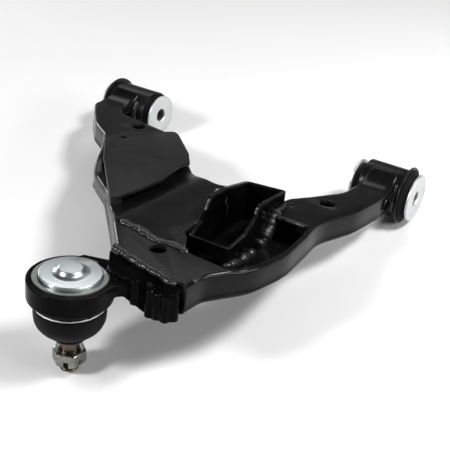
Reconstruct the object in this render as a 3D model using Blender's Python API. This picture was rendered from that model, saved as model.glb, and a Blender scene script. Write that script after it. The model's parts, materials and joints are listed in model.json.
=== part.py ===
"""Front lower control arm: a boxed steel arm with two rubber pivot bushes, a shock-absorber bracket and a
ball joint. Metres, +Z up. The arm stands on the rims of its two bushes and on the end of its ball stud.

The arm's own frame has its origin on the pivot axis, midway between the bushes, +X towards the ball joint
and +Y from the rear bush to the front bush. An empty carries that frame, tilted as the arm stands.
"""

import math

import bmesh
import bpy
from mathutils import Matrix, Vector

# Layout
PIVOT_SPACING = 0.369
BALL_REACH = 0.387
BALL_FORWARD = 0.0555
GAP = 0.0003

# Pressed shells
SHEET = 0.0035
TOP_Z = 0.014
FLOOR_Z = -0.016
SEAM_Z = -0.010
INNER_FLANGE_Z = -0.003
FLANGE_SHEET = 0.0025
POCKET_RIM_Z = 0.008
OUTER_PLATE_TOP_Z = 0.012
COVER_PLATE_TOP_Z = 0.0185
TALL = 0.060
ARC_STEPS = 3
SMALLEST_BEND = 0.0006
ROUND_STEPS = 24
RIM_STEPS = 32

# Arm outline seen from above, anticlockwise: x, y, corner radius
ARM_OUTLINE = (
    (0.0500, 0.2030, 0),
    (0.0500, 0.1650, 0),
    (0.0800, 0.1635, 0.040),
    (0.1170, 0.1425, 0.060),
    (0.1380, 0.1290, 0.012),
    (0.1500, 0.1265, 0.005),
    (0.1500, 0.0770, 0.006),
    (0.1640, 0.0580, 0.020),
    (0.1580, 0.0260, 0.060),
    (0.1280, -0.0120, 0.080),
    (0.0780, -0.0700, 0.050),
    (0.0710, -0.1180, 0.050),
    (0.0640, -0.1600, 0.014),
    (0.0380, -0.1735, 0),
    (0.0380, -0.2140, 0),
    (0.0620, -0.2135, 0.014),
    (0.0860, -0.1920, 0.040),
    (0.1190, -0.1600, 0.040),
    (0.1400, -0.1270, 0.030),
    (0.1740, -0.1010, 0.040),
    (0.2240, -0.0680, 0.050),
    (0.2540, -0.0230, 0.080),
    (0.2930, 0.0170, 0.100),
    (0.3440, 0.0680, 0.004),
    (0.3660, 0.1000, 0.012),
    (0.3770, 0.1400, 0.010),
    (0.3720, 0.1560, 0.006),
    (0.3340, 0.1575, 0.030),
    (0.2920, 0.1820, 0.060),
    (0.2480, 0.1895, 0.080),
    (0.2000, 0.1850, 0.080),
    (0.1650, 0.1810, 0.080),
    (0.1120, 0.1980, 0.100),
)
END_OPENING = ((0.3468, 0.0600), (0.4200, 0.0600), (0.4200, 0.1522), (0.3575, 0.1522))
TOP_OPENING = (
    (0.1545, 0.0900),
    (0.1570, 0.0875),
    (0.2810, 0.0965),
    (0.2895, 0.1060),
    (0.3165, 0.1190),
    (0.3165, 0.1640),
    (0.2920, 0.1775),
    (0.2480, 0.1845),
    (0.2000, 0.1800),
    (0.1860, 0.1745),
    (0.1880, 0.1395),
    (0.1545, 0.1368),
)
COVER_OUTLINE = (
    (0.1600, -0.1080, 0.006),
    (0.2080, -0.0680, 0.040),
    (0.2840, 0.0080, 0.006),
    (0.2480, 0.0125, 0.030),
    (0.2090, 0.0140, 0.020),
    (0.1620, 0.0035, 0.030),
    (0.1480, 0.0065, 0.003),
    (0.1260, -0.0110, 0.010),
    (0.0850, -0.0560, 0.006),
    (0.0790, -0.0660, 0.006),
    (0.1310, -0.1080, 0.006),
)
TOOLING_HOLES = ((0.1216, 0.1660, 0.0088), (0.1528, 0.1400, 0.0028), (0.0903, -0.1145, 0.0088))
OUTER_PLATE_HOLE = (0.3220, 0.0980, 0.0080)
COVER_HOLE = (0.1420, -0.0950, 0.0042)

# Bushes, measured outwards from each bush's centre
TUBE_RADIUS = 0.02875
TUBE_BORE = 0.0250
SLEEVE_OUTER = 0.0247
SLEEVE_INNER = 0.0227
RIM_RADIUS = 0.0333
CORE_RADIUS = 0.0125
BOLT_HOLE_RADIUS = 0.00815
CORE_END = 0.0340
WASHER_THICKNESS = 0.0027
TUBE_INBOARD = -0.0260
BUSHES = {
    "front": {"side": 1, "rim": (0.0236, 0.0262), "end": 0.0340, "washers": (0.0256, 0.0273)},
    "rear": {"side": -1, "rim": (0.0368, 0.0396), "end": 0.0440, "washers": (0.0262, 0.0273)},
}
STRAP_WIDTH = {"front": (-0.0185, 0.0175), "rear": (-0.0110, 0.0310)}
STRAP_WRAP_TOP = math.radians(25)
STRAP_WRAP_END = math.radians(40)

# Shock-absorber bracket, in a frame at its rear corner, turned a little from the arm's X
BRACKET_ORIGIN = (0.1600, 0.1123)
BRACKET_YAW = math.radians(4.2)
BRACKET_GAP = 0.037
BRACKET_SHEET = 0.004
BRACKET_FOOT_Z = FLOOR_Z + SHEET + GAP
REAR_PLATE_TOP = (
    (0.0038, 0.0285),
    (0.0547, 0.0383),
    (0.0803, 0.0394),
    (0.0890, 0.0260),
    (0.1124, 0.0106),
)
FRONT_PLATE_TOP = (
    (0.0038, 0.0285),
    (0.0502, 0.0334),
    (0.0595, 0.0340),
    (0.0634, 0.0248),
    (0.0855, 0.0120),
    (0.1124, 0.0100),
)
BRACKET_BACK_TOP = 0.0280
BRACKET_LIP_X = 0.1127
BRACKET_LIP_TOP = 0.0100
SHOCK_BOLT = (0.0480, 0.0228, 0.0061)
WELD_NUT_RADIUS = 0.0082

# Ball joint, heights in the arm's frame
EYE_RADIUS = 0.0386
EYE_TOP = -0.0055
EYE_BOTTOM = -0.0290
BALL_Z = -0.0185
BALL_RADIUS = 0.0140
CAVITY_RADIUS = 0.0225
CAVITY_FLOOR = -0.0254
MOUTH_RADIUS = 0.0335
MOUTH_Z = -0.0092
BOSS_RADIUS = 0.0285
BOSS_BOTTOM = -0.0355
NUT_TOP = -0.0800
NUT_BOTTOM = -0.0950
NUT_SLOT_TOP = -0.0875
NUT_SLOT_HALF_TURN = 9
NUT_FLATS = 0.027
STUD_END = -0.1030
STUD_END_RADIUS = 0.0060
THREAD_RADIUS = 0.0089

ROOT_OUTLINE = (
    (0.3478, 0.0645),
    (0.3640, 0.0760),
    (0.3660, 0.0960),
    (0.3640, 0.1120),
    (0.3710, 0.1340),
    (0.3660, 0.1490),
    (0.3583, 0.1518),
)
NECK_OUTLINE = (
    (0.3478, 0.0645),
    (0.3400, 0.0622),
    (0.3500, 0.0360),
    (0.3700, 0.0330),
    (0.4021, 0.0910),
    (0.3720, 0.0940),
    (0.3650, 0.1000),
)
# Pressed cap: a hub, a flat disc and a rim under the retaining ring, as radius and height
CAP_PROFILE = (
    (0, 0.0016),
    (0.0115, 0.0016),
    (0.0155, -0.0034),
    (0.0256, -0.0034),
    (0.0256, -0.0089),
    (0.0331, -0.0089),
    (0.0331, -0.0071),
    (0.0276, -0.0071),
    (0.0276, -0.0014),
    (0.0178, -0.0014),
    (0.0134, 0.0031),
    (0.0122, 0.0036),
    (0, 0.0036),
)
BOOT_PROFILE = (
    (0.0288, -0.0298),
    (0.0318, -0.0298),
    (0.0318, -0.0306),
    (0.0305, -0.0312),
    (0.0305, -0.0330),
    (0.0320, -0.0338),
    (0.0322, -0.0420),
    (0.0310, -0.0490),
    (0.0250, -0.0580),
    (0.0165, -0.0638),
    (0.0150, -0.0672),
    (0.0118, -0.0672),
    (0.0125, -0.0625),
    (0.0228, -0.0562),
    (0.0288, -0.0480),
    (0.0299, -0.0415),
    (0.0288, -0.0366),
)

# Colours
PAINT_BLACK = (0.020, 0.020, 0.021)
ZINC = (0.78, 0.79, 0.78)
STEEL = (0.42, 0.38, 0.34)
RUBBER_BLACK = (0.030, 0.030, 0.030)
NYLON_CREAM = (0.72, 0.68, 0.56)


def clear_scene():
    for item in list(bpy.data.objects):
        bpy.data.objects.remove(item)


def make_material(name, colour, metallic, roughness):
    material = bpy.data.materials.new(name)
    material.use_nodes = True
    shader = material.node_tree.nodes["Principled BSDF"]
    shader.inputs["Base Color"].default_value = (*colour, 1)
    shader.inputs["Metallic"].default_value = metallic
    shader.inputs["Roughness"].default_value = roughness
    return material


def make_materials():
    return {
        "paint": make_material("black_paint", PAINT_BLACK, 0.0, 0.28),
        "zinc": make_material("zinc_plate", ZINC, 1.0, 0.32),
        "steel": make_material("bare_steel", STEEL, 1.0, 0.38),
        "rubber": make_material("black_rubber", RUBBER_BLACK, 0.0, 0.65),
        "nylon": make_material("bearing_nylon", NYLON_CREAM, 0.0, 0.45),
    }


def add_empty(name, parent=None, location=(0, 0, 0), rotation=(0, 0, 0)):
    empty = bpy.data.objects.new(name, None)
    empty.parent = parent
    empty.location = location
    empty.rotation_euler = rotation
    bpy.context.scene.collection.objects.link(empty)
    return empty


def add_object(name, shape, parent=None, material=None, location=(0, 0, 0), smooth=True):
    """An object from a bmesh, shaded smooth except at its sharp edges."""
    bmesh.ops.recalc_face_normals(shape, faces=shape.faces)
    mesh = bpy.data.meshes.new(name)
    shape.to_mesh(mesh)
    shape.free()
    if smooth:
        mesh.shade_smooth()
        mesh.set_sharp_from_angle(angle=math.radians(35))
    item = bpy.data.objects.new(name, mesh)
    item.parent = parent
    item.location = location
    if material:
        mesh.materials.append(material)
    bpy.context.scene.collection.objects.link(item)
    return item


def combine(target, other, operation):
    """Adds a Boolean to target, with the other object kept as a hidden helper."""
    other.hide_render = True
    other.display_type = "WIRE"
    other.name = f"helper_{target.name}_{len(target.modifiers)}"
    modifier = target.modifiers.new(operation.lower(), "BOOLEAN")
    modifier.operation = operation
    modifier.object = other
    return target


def cut(target, other):
    return combine(target, other, "DIFFERENCE")


def fuse(target, other):
    return combine(target, other, "UNION")


# Outlines


def rounded(outline, steps=ARC_STEPS):
    """Points of a closed outline of (x, y, radius) corners, with an arc at each corner that has a radius."""
    points = []
    for index, (x, y, radius) in enumerate(outline):
        corner = Vector((x, y))
        if not radius:
            points.append(corner)
            continue
        before = Vector(outline[index - 1][:2]) - corner
        after = Vector(outline[(index + 1) % len(outline)][:2]) - corner
        half = before.angle(after) / 2
        reach = min(radius / math.tan(half), 0.48 * before.length, 0.48 * after.length)
        start = corner + before.normalized() * reach
        end = corner + after.normalized() * reach
        for step in range(steps + 1):
            t = step / steps
            points.append((1 - t) ** 2 * start + 2 * t * (1 - t) * corner + t**2 * end)
    return points


def inset(outline, distance):
    """A closed anticlockwise outline of (x, y, radius) corners moved inwards, its arcs staying parallel."""
    moved = []
    for index, (x, y, radius) in enumerate(outline):
        corner = Vector((x, y))
        before = (corner - Vector(outline[index - 1][:2])).normalized()
        after = (Vector(outline[(index + 1) % len(outline)][:2]) - corner).normalized()
        inwards = Vector((-before.y - after.y, before.x + after.x)).normalized()
        corner += inwards * (distance / inwards.dot(Vector((-before.y, before.x))))
        if radius:
            bends_out = before.cross(after) > 0
            radius = max(SMALLEST_BEND, radius - distance if bends_out else radius + distance)
        moved.append((corner.x, corner.y, radius))
    return moved


def clipped(points, origin, normal):
    """The part of a closed outline on the side of a line that normal points to."""
    kept = []
    sides = [(point - Vector(origin)).dot(Vector(normal)) for point in points]
    for index, point in enumerate(points):
        following = (index + 1) % len(points)
        if sides[index] >= 0:
            kept.append(point)
        if (sides[index] >= 0) != (sides[following] >= 0):
            share = sides[index] / (sides[index] - sides[following])
            kept.append(point.lerp(points[following], share))
    return kept


# Solids


def ring_of(shape, points, z):
    return [shape.verts.new((point[0], point[1], z)) for point in points]


def bridge(shape, lower, upper):
    for index, vert in enumerate(lower):
        following = (index + 1) % len(lower)
        shape.faces.new((vert, lower[following], upper[following], upper[index]))


def prism(points, z_low, z_high):
    """A straight block over an outline."""
    shape = bmesh.new()
    lower = ring_of(shape, points, z_low)
    upper = ring_of(shape, points, z_high)
    bridge(shape, lower, upper)
    shape.faces.new(reversed(lower))
    shape.faces.new(upper)
    return shape


def sloped_block(points, z_low, high_at_edge, slope):
    """A block whose top falls away by slope from the edge between the outline's first and last points."""
    shape = bmesh.new()
    first, last = Vector(points[0]), Vector(points[-1])
    along = (last - first).normalized()
    across = Vector((along.y, -along.x))
    lower = ring_of(shape, points, z_low)
    upper = []
    for point in points:
        away = abs((Vector(point) - first).dot(across))
        upper.append(shape.verts.new((point[0], point[1], high_at_edge - slope * away)))
    bridge(shape, lower, upper)
    shape.faces.new(reversed(lower))
    shape.faces.new(upper)
    return shape


def pressed(outline, steps):
    """A pressed sheet whose section steps through (inset from the outline, z), with flat end faces."""
    shape = bmesh.new()
    rings = [ring_of(shape, rounded(inset(outline, distance)), z) for distance, z in steps]
    for before, after in zip(rings, rings[1:]):
        bridge(shape, before, after)
    shape.faces.new(rings[0])
    shape.faces.new(rings[-1])
    return shape


def turned(profile, segments=ROUND_STEPS):
    """A solid of revolution about Z from a profile of (radius, z); a radius of 0 lies on the axis."""
    shape = bmesh.new()
    rings = []
    for radius, z in profile:
        if radius == 0:
            rings.append([shape.verts.new((0, 0, z))])
            continue
        turns = [math.tau * index / segments for index in range(segments)]
        rings.append([shape.verts.new((radius * math.cos(a), radius * math.sin(a), z)) for a in turns])
    closed = profile[0][0] > 0
    for index in range(len(rings) if closed else len(rings) - 1):
        lower, upper = rings[index], rings[(index + 1) % len(rings)]
        for step in range(segments):
            following = (step + 1) % segments
            if len(lower) == 1:
                shape.faces.new((lower[0], upper[following], upper[step]))
            elif len(upper) == 1:
                shape.faces.new((lower[step], lower[following], upper[0]))
            else:
                shape.faces.new((lower[step], lower[following], upper[following], upper[step]))
    return shape


def tube(inner, outer, z_low, z_high, chamfer=0.0, segments=ROUND_STEPS):
    if not chamfer:
        return turned([(inner, z_low), (outer, z_low), (outer, z_high), (inner, z_high)], segments)
    profile = [
        (inner, z_low),
        (outer - chamfer, z_low),
        (outer, z_low + chamfer),
        (outer, z_high - chamfer),
        (outer - chamfer, z_high),
        (inner, z_high),
    ]
    return turned(profile, segments)


def cylinder(radius, z_low, z_high, segments=ROUND_STEPS):
    return turned([(0, z_low), (radius, z_low), (radius, z_high), (0, z_high)], segments)


def arc(centre_r, centre_z, radius, start, end, steps):
    """Points (r, z) on an arc, angles in degrees from +r towards +z."""
    angles = [math.radians(start + (end - start) * index / steps) for index in range(steps + 1)]
    return [(centre_r + radius * math.cos(a), centre_z + radius * math.sin(a)) for a in angles]


def on_pivot_axis(shape, centre_y):
    """Turns a shape made about Z so that its axis is the pivot axis, its +Z to +Y."""
    turn = Matrix.Translation((0, centre_y, 0)) @ Matrix.Rotation(-math.pi / 2, 4, "X")
    shape.transform(turn)
    return shape


def drill(target, parent, x, y, radius):
    steps = ROUND_STEPS if radius > 0.005 else 12
    return cut(target, add_object("drill", cylinder(radius, -TALL, TALL, steps), parent, location=(x, y, 0)))


# Boxed arm


def strap_profile():
    """Side outline (x, z) of the upper shell's strap, from the top plate up and over the eye tube."""
    outer = TUBE_RADIUS + GAP + SHEET
    inner = TUBE_RADIUS + GAP
    hollow_radius = (TOP_Z - outer * math.cos(STRAP_WRAP_END)) / (math.cos(STRAP_WRAP_END) - 1)
    end_x = outer * math.sin(STRAP_WRAP_END) + hollow_radius * math.sin(STRAP_WRAP_END)
    top = [(end_x + 0.008, TOP_Z)]
    for step in range(7):
        angle = STRAP_WRAP_END * step / 6
        top.append((end_x - hollow_radius * math.sin(angle), TOP_Z + hollow_radius * (1 - math.cos(angle))))
    wrap = [STRAP_WRAP_END + (STRAP_WRAP_TOP - STRAP_WRAP_END) * step / 2 for step in range(1, 3)]
    top += [(outer * math.sin(angle), outer * math.cos(angle)) for angle in wrap]
    base = (TOP_Z - SHEET + 0.0005) / inner
    low_angle = math.acos(base)
    steps = [STRAP_WRAP_TOP + (low_angle - STRAP_WRAP_TOP) * step / 5 for step in range(6)]
    under = [(inner * math.sin(angle), inner * math.cos(angle)) for angle in steps]
    return top + under + [(end_x + 0.008, TOP_Z - SHEET + 0.0005)]


def strap(name, parent):
    """The upper shell's strap at one bush, as a block along Y."""
    bush = BUSHES[name]
    low, high = sorted(bush["side"] * (PIVOT_SPACING / 2 + offset) for offset in STRAP_WIDTH[name])
    shape = bmesh.new()
    near = [shape.verts.new((x, high, z)) for x, z in strap_profile()]
    far = [shape.verts.new((x, low, z)) for x, z in strap_profile()]
    bridge(shape, near, far)
    shape.faces.new(near)
    shape.faces.new(reversed(far))
    return add_object("strap", shape, parent)


def floor_strap(name, parent):
    bush = BUSHES[name]
    low, high = sorted(bush["side"] * (PIVOT_SPACING / 2 + offset) for offset in STRAP_WIDTH[name])
    points = [(0.0100, low), (0.0580, low), (0.0580, high), (0.0100, high)]
    return add_object("strap", prism(points, FLOOR_Z, FLOOR_Z + SHEET), parent)


def pivot_clearance(parent):
    """A cylinder along the whole pivot axis, just wider than the eye tubes."""
    shape = on_pivot_axis(cylinder(TUBE_RADIUS + GAP, -0.26, 0.26), 0)
    return add_object("clearance", shape, parent)


def end_opening(parent):
    return add_object("opening", prism(END_OPENING, -TALL, TALL), parent)


def build_upper_shell(parent, material):
    section = ((0, TOP_Z), (0, SEAM_Z), (SHEET, SEAM_Z), (SHEET, TOP_Z - SHEET))
    shell = add_object("upper_shell", pressed(ARM_OUTLINE, section), parent, material)
    for name in BUSHES:
        fuse(shell, strap(name, parent))
    cut(shell, add_object("opening", prism(TOP_OPENING, -TALL, TALL), parent))
    outer_end = clipped(rounded(inset(ARM_OUTLINE, SHEET - 0.0002)), (0.3164, 0), (1, 0))
    cut(shell, add_object("opening", prism(outer_end, -TALL, TALL), parent))
    cut(shell, end_opening(parent))
    dip = [(0.1900, 0.1500), (0.3120, 0.1500), (0.3120, 0.2100), (0.1900, 0.2100)]
    cut(shell, add_object("dip", prism(dip, POCKET_RIM_Z, TALL), parent))
    for x, y, radius in TOOLING_HOLES:
        drill(shell, parent, x, y, radius)
    return shell


def build_lower_shell(parent, material):
    inside_wall = SHEET + GAP
    section = (
        (0, FLOOR_Z),
        (0, SEAM_Z - GAP),
        (inside_wall, SEAM_Z - GAP),
        (inside_wall, INNER_FLANGE_Z),
        (inside_wall + FLANGE_SHEET, INNER_FLANGE_Z),
        (inside_wall + FLANGE_SHEET, FLOOR_Z + SHEET),
    )
    shell = add_object("lower_shell", pressed(ARM_OUTLINE, section), parent, material)
    for name in BUSHES:
        fuse(shell, floor_strap(name, parent))
    cut(shell, pivot_clearance(parent))
    cut(shell, end_opening(parent))
    return shell


def build_outer_plate(parent, material):
    outline = rounded(inset(ARM_OUTLINE, SHEET + GAP))
    outline = clipped(outline, (0.3080, 0), (1, 0))
    start, end = Vector(END_OPENING[0]), Vector(END_OPENING[3])
    along = (end - start).normalized()
    outline = clipped(outline, start, (-along.y, along.x))
    plate = prism(outline, OUTER_PLATE_TOP_Z - SHEET, OUTER_PLATE_TOP_Z)
    plate = add_object("outer_top_plate", plate, parent, material)
    step = [(0.3000, 0.0300), (0.3168, 0.0300), (0.3168, 0.1195), (0.3000, 0.1195)]
    cut(plate, add_object("step", prism(step, -TALL, TALL), parent))
    return drill(plate, parent, *OUTER_PLATE_HOLE)


def build_cover_plate(parent, material):
    plate = prism(rounded(COVER_OUTLINE), TOP_Z + GAP, COVER_PLATE_TOP_Z)
    plate = add_object("cover_plate", plate, parent, material)
    return drill(plate, parent, *COVER_HOLE)


# Bushes


def bush_frame(name, parent):
    """An empty at a bush's centre whose Z runs outwards along the pivot axis."""
    side = BUSHES[name]["side"]
    centre = (0, side * PIVOT_SPACING / 2, 0)
    return add_empty(f"{name}_bush_axis", parent, centre, (-side * math.pi / 2, 0, 0))


def build_bush(name, parent, materials):
    bush = BUSHES[name]
    axis = bush_frame(name, parent)
    rim_low, rim_high = bush["rim"]
    end = bush["end"]
    tube_shape = tube(TUBE_BORE, TUBE_RADIUS, TUBE_INBOARD, rim_low - GAP)
    add_object(f"{name}_eye_tube", tube_shape, axis, materials["paint"])
    sleeve = [
        (SLEEVE_INNER, TUBE_INBOARD - 0.0015),
        (SLEEVE_OUTER, TUBE_INBOARD - 0.0015),
        (SLEEVE_OUTER, rim_low),
        (RIM_RADIUS, rim_low),
        (RIM_RADIUS, rim_high),
        (SLEEVE_INNER, rim_high),
    ]
    add_object(f"{name}_outer_sleeve", turned(sleeve, RIM_STEPS), axis, materials["paint"])
    rubber = [
        (CORE_RADIUS + GAP, 0.0005 - CORE_END),
        (0.0210, 0.0005 - CORE_END),
        (SLEEVE_INNER - GAP, TUBE_INBOARD - 0.0018),
        (SLEEVE_INNER - GAP, rim_high + GAP),
        (0.0280, rim_high + GAP),
        (0.0235, end - 0.0005),
        (CORE_RADIUS + GAP, end - 0.0005),
    ]
    add_object(f"{name}_bush_rubber", turned(rubber), axis, materials["rubber"])
    core = tube(BOLT_HOLE_RADIUS, CORE_RADIUS, -CORE_END, end)
    add_object(f"{name}_inner_sleeve", core, axis, materials["steel"])
    inboard_radius, outboard_radius = bush["washers"]
    add_washer(f"{name}_inboard_washer", axis, inboard_radius, -CORE_END - GAP, -1, materials["zinc"])
    add_washer(f"{name}_outboard_washer", axis, outboard_radius, end + GAP, 1, materials["zinc"])


def add_washer(name, axis, radius, z, direction, material):
    """A thick washer with a chamfered bore, starting at z and growing in the given direction."""
    lead_in = 0.0014
    far = z + direction * WASHER_THICKNESS
    profile = [
        (BOLT_HOLE_RADIUS, z),
        (radius, z),
        (radius, far),
        (BOLT_HOLE_RADIUS + lead_in, far),
        (BOLT_HOLE_RADIUS, far - direction * lead_in),
    ]
    return add_object(name, turned(profile), axis, material)


# Shock-absorber bracket


def bracket_plate(name, frame, top, y_low, material):
    """One upright side plate under its top edge, drawn in X and Z and as thick as the bracket sheet."""
    outline = [(top[0][0], BRACKET_FOOT_Z), *top, (top[-1][0], BRACKET_FOOT_Z)]
    shape = bmesh.new()
    near = [shape.verts.new((x, y_low, z)) for x, z in outline]
    far = [shape.verts.new((x, y_low + BRACKET_SHEET, z)) for x, z in outline]
    bridge(shape, near, far)
    shape.faces.new(near)
    shape.faces.new(reversed(far))
    plate = add_object(name, shape, frame, material)
    x, z, radius = SHOCK_BOLT
    drill_shape = on_pivot_axis(cylinder(radius, -TALL, TALL), 0)
    return cut(plate, add_object("drill", drill_shape, frame, location=(x, 0, z)))


def bracket_cross_plate(name, frame, x_low, z_high, material):
    """One upright plate across the ends of both side plates."""
    half = BRACKET_GAP / 2 + BRACKET_SHEET
    x_high = x_low + SHEET
    outline = [(x_low, -half), (x_high, -half), (x_high, half), (x_low, half)]
    return add_object(name, prism(outline, BRACKET_FOOT_Z, z_high), frame, material)


def build_bracket(parent, materials):
    origin = (*BRACKET_ORIGIN, 0)
    frame = add_empty("shock_bracket_frame", parent, origin, (0, 0, BRACKET_YAW))
    half = BRACKET_GAP / 2
    rear_low = -half - BRACKET_SHEET
    bracket_plate("shock_bracket_rear_plate", frame, REAR_PLATE_TOP, rear_low, materials["paint"])
    bracket_plate("shock_bracket_front_plate", frame, FRONT_PLATE_TOP, half, materials["paint"])
    bracket_cross_plate("shock_bracket_back_plate", frame, 0, BRACKET_BACK_TOP, materials["paint"])
    bracket_cross_plate("shock_bracket_lip_plate", frame, BRACKET_LIP_X, BRACKET_LIP_TOP, materials["paint"])
    x, z, radius = SHOCK_BOLT
    nut_start = -half - BRACKET_SHEET - GAP - 0.010
    nut = on_pivot_axis(tube(radius - 0.0009, WELD_NUT_RADIUS, 0, 0.010), nut_start)
    add_object("shock_weld_nut", nut, frame, materials["steel"], (x, 0, z))


# Ball joint


def build_forging(parent, material):
    """The forged eye with its neck and the root block that closes the arm's end."""
    eye = [
        (0, BOSS_BOTTOM),
        (BOSS_RADIUS, BOSS_BOTTOM),
        (BOSS_RADIUS, EYE_BOTTOM),
        (0.0350, EYE_BOTTOM),
        (EYE_RADIUS, -0.0245),
        (EYE_RADIUS, EYE_TOP - 0.0015),
        (EYE_RADIUS - 0.0015, EYE_TOP),
        (0, EYE_TOP),
    ]
    ball = (BALL_REACH, BALL_FORWARD, 0)
    to_ball = Matrix.Translation((-BALL_REACH, -BALL_FORWARD, 0))
    forging = add_object("ball_joint_forging", turned(eye, RIM_STEPS), parent, material, ball)
    blocks = (
        sloped_block(ROOT_OUTLINE, -0.0240, OUTER_PLATE_TOP_Z - 0.002, 0.62),
        prism(NECK_OUTLINE, EYE_BOTTOM + 0.0005, EYE_TOP - 0.0006),
    )
    for shape in blocks:
        shape.transform(to_ball)
        fuse(forging, add_object("block", shape, parent, location=ball))
    bore = [
        (0, BOSS_BOTTOM - 0.001),
        (0.0237, BOSS_BOTTOM - 0.001),
        (0.0185, CAVITY_FLOOR),
        (CAVITY_RADIUS, CAVITY_FLOOR),
        (CAVITY_RADIUS, MOUTH_Z),
        (MOUTH_RADIUS, MOUTH_Z),
        (MOUTH_RADIUS, 0.020),
        (0, 0.020),
    ]
    return cut(forging, add_object("bore", turned(bore, RIM_STEPS), parent, location=ball))


def ball_seat(name, start, end, parent, material):
    """A bearing ring around the ball, between two latitudes in degrees."""
    hollow = arc(0, BALL_Z, BALL_RADIUS + GAP, start, end, 4)
    outside = CAVITY_RADIUS - GAP
    profile = [(outside, hollow[0][1]), (outside, hollow[-1][1]), *hollow[::-1]]
    add_object(name, turned(profile), parent, material, (BALL_REACH, BALL_FORWARD, 0))
    return hollow[-1][1]


def build_ball_joint(parent, materials):
    ball = (BALL_REACH, BALL_FORWARD, 0)
    build_forging(parent, materials["paint"])
    ball_seat("lower_ball_seat", -27, -2, parent, materials["nylon"])
    seat_top = ball_seat("upper_ball_seat", 2, 54, parent, materials["nylon"]) + GAP
    spring = [
        (0.0120, seat_top + 0.0008),
        (0.0215, seat_top),
        (0.0215, seat_top + 0.0012),
        (0.0120, seat_top + 0.0020),
    ]
    add_object("preload_spring", turned(spring), parent, materials["steel"], ball)
    add_object("ball_joint_cap", turned(CAP_PROFILE), parent, materials["zinc"], ball)
    build_retaining_ring(parent, materials["zinc"])
    build_boot(parent, materials)
    build_stud(parent, materials)


def build_retaining_ring(parent, material):
    """A flat ring in the eye's mouth, open where its ends are squeezed together to fit it."""
    inner, outer = 0.0281, MOUTH_RADIUS - 0.0005
    open_start, open_end = math.radians(140), math.radians(174)
    sweep = math.tau - (open_end - open_start)
    steps = 36
    shape = bmesh.new()
    sections = []
    for step in range(steps + 1):
        angle = open_end + sweep * step / steps
        corners = [(inner, -0.0068), (outer, -0.0068), (outer, -0.0046), (inner, -0.0046)]
        sections.append([shape.verts.new((r * math.cos(angle), r * math.sin(angle), z)) for r, z in corners])
    for before, after in zip(sections, sections[1:]):
        bridge(shape, before, after)
    shape.faces.new(sections[0])
    shape.faces.new(reversed(sections[-1]))
    return add_object("retaining_ring", shape, parent, material, (BALL_REACH, BALL_FORWARD, 0))


def build_boot(parent, materials):
    ball = (BALL_REACH, BALL_FORWARD, 0)
    add_object("boot", turned(BOOT_PROFILE), parent, materials["rubber"], ball)
    wire = turned(arc(0.0317, -0.0321, 0.0007, 0, 300, 5))
    add_object("boot_upper_ring", wire, parent, materials["zinc"], ball)


def build_stud(parent, materials):
    """Everything that swings with the ball: the boot's mouth ring, the stud and its nut."""
    swing = add_empty("stud_swing_axis", parent, (BALL_REACH, BALL_FORWARD, BALL_Z))
    spin = add_empty("stud_spin_axis", swing)
    drop = Matrix.Translation((0, 0, -BALL_Z))
    mouth = tube(0.0101, 0.0114, -0.0664, -0.0634)
    mouth.transform(drop)
    add_object("boot_mouth_ring", mouth, swing, materials["steel"])
    stud_shape = turned(stud_profile())
    stud_shape.transform(drop)
    stud = add_object("ball_stud", stud_shape, spin, materials["steel"])
    hole = on_pivot_axis(cylinder(0.0020, -0.02, 0.02, 12), 0)
    pin_height = NUT_BOTTOM + 0.0030 - BALL_Z
    cut(stud, add_object("drill", hole, spin, location=(0, 0, pin_height)))
    nut_shape = castle_nut()
    nut_shape.transform(drop)
    add_object("castle_nut", nut_shape, spin, materials["zinc"])


def stud_profile():
    """The ball, the taper that the knuckle grips, the thread's outside and a rounded end."""
    ball = arc(0, BALL_Z, BALL_RADIUS, -52, 90, 9)
    ball[-1] = (0, BALL_Z + BALL_RADIUS)
    neck = NUT_TOP + 0.0010
    shank = [(THREAD_RADIUS, neck), (0.0096, -0.0560), (0.0096, -0.0400), (0.0086, -0.0340)]
    end = [(0, STUD_END), (STUD_END_RADIUS, STUD_END), (THREAD_RADIUS, STUD_END + 0.0030)]
    return end + shank + ball


def castle_nut():
    """A hexagon nut with a slot for the locking pin at the bottom of each flat."""
    bore = THREAD_RADIUS + GAP
    levels = (
        (bore, NUT_TOP),
        (0.0130, NUT_TOP),
        (None, NUT_TOP - 0.0010),
        (None, NUT_SLOT_TOP),
        (None, NUT_BOTTOM + 0.0018),
        (0.0122, NUT_BOTTOM),
        (bore, NUT_BOTTOM),
        (bore, NUT_SLOT_TOP),
    )
    steps = (0, 10, 30 - NUT_SLOT_HALF_TURN, 30 + NUT_SLOT_HALF_TURN, 50)
    turns = [math.radians(60 * side + step) for side in range(6) for step in steps]
    shape = bmesh.new()
    rings = []
    for radius, z in levels:
        ring = []
        for turn in turns:
            from_flat = turn % (math.pi / 3) - math.pi / 6
            r = radius or NUT_FLATS / 2 / math.cos(from_flat)
            ring.append(shape.verts.new((r * math.cos(turn), r * math.sin(turn), z)))
        rings.append(ring)
    slot_top, edge, end, bore_end, bore_slot = rings[3:]
    for level, ring in enumerate(rings):
        above = rings[(level + 1) % len(rings)]
        for index in range(len(turns)):
            following = (index + 1) % len(turns)
            if index % 5 == 2 and level in (3, 4, 5, 6):
                continue
            shape.faces.new((ring[index], ring[following], above[following], above[index]))
    for index in range(2, len(turns), 5):
        following = index + 1
        shape.faces.new((slot_top[index], slot_top[following], bore_slot[following], bore_slot[index]))
        for side in (index, following):
            shape.faces.new((slot_top[side], edge[side], end[side], bore_end[side], bore_slot[side]))
    return shape


# Standing pose


def standing_tilt():
    """How far the arm's frame tilts about the pivot axis with both rims and the stud's end on the floor."""
    near_x = BALL_REACH - STUD_END_RADIUS
    reach = math.hypot(near_x, STUD_END)
    return math.asin(-RIM_RADIUS / reach) - math.atan2(STUD_END, near_x)


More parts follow.
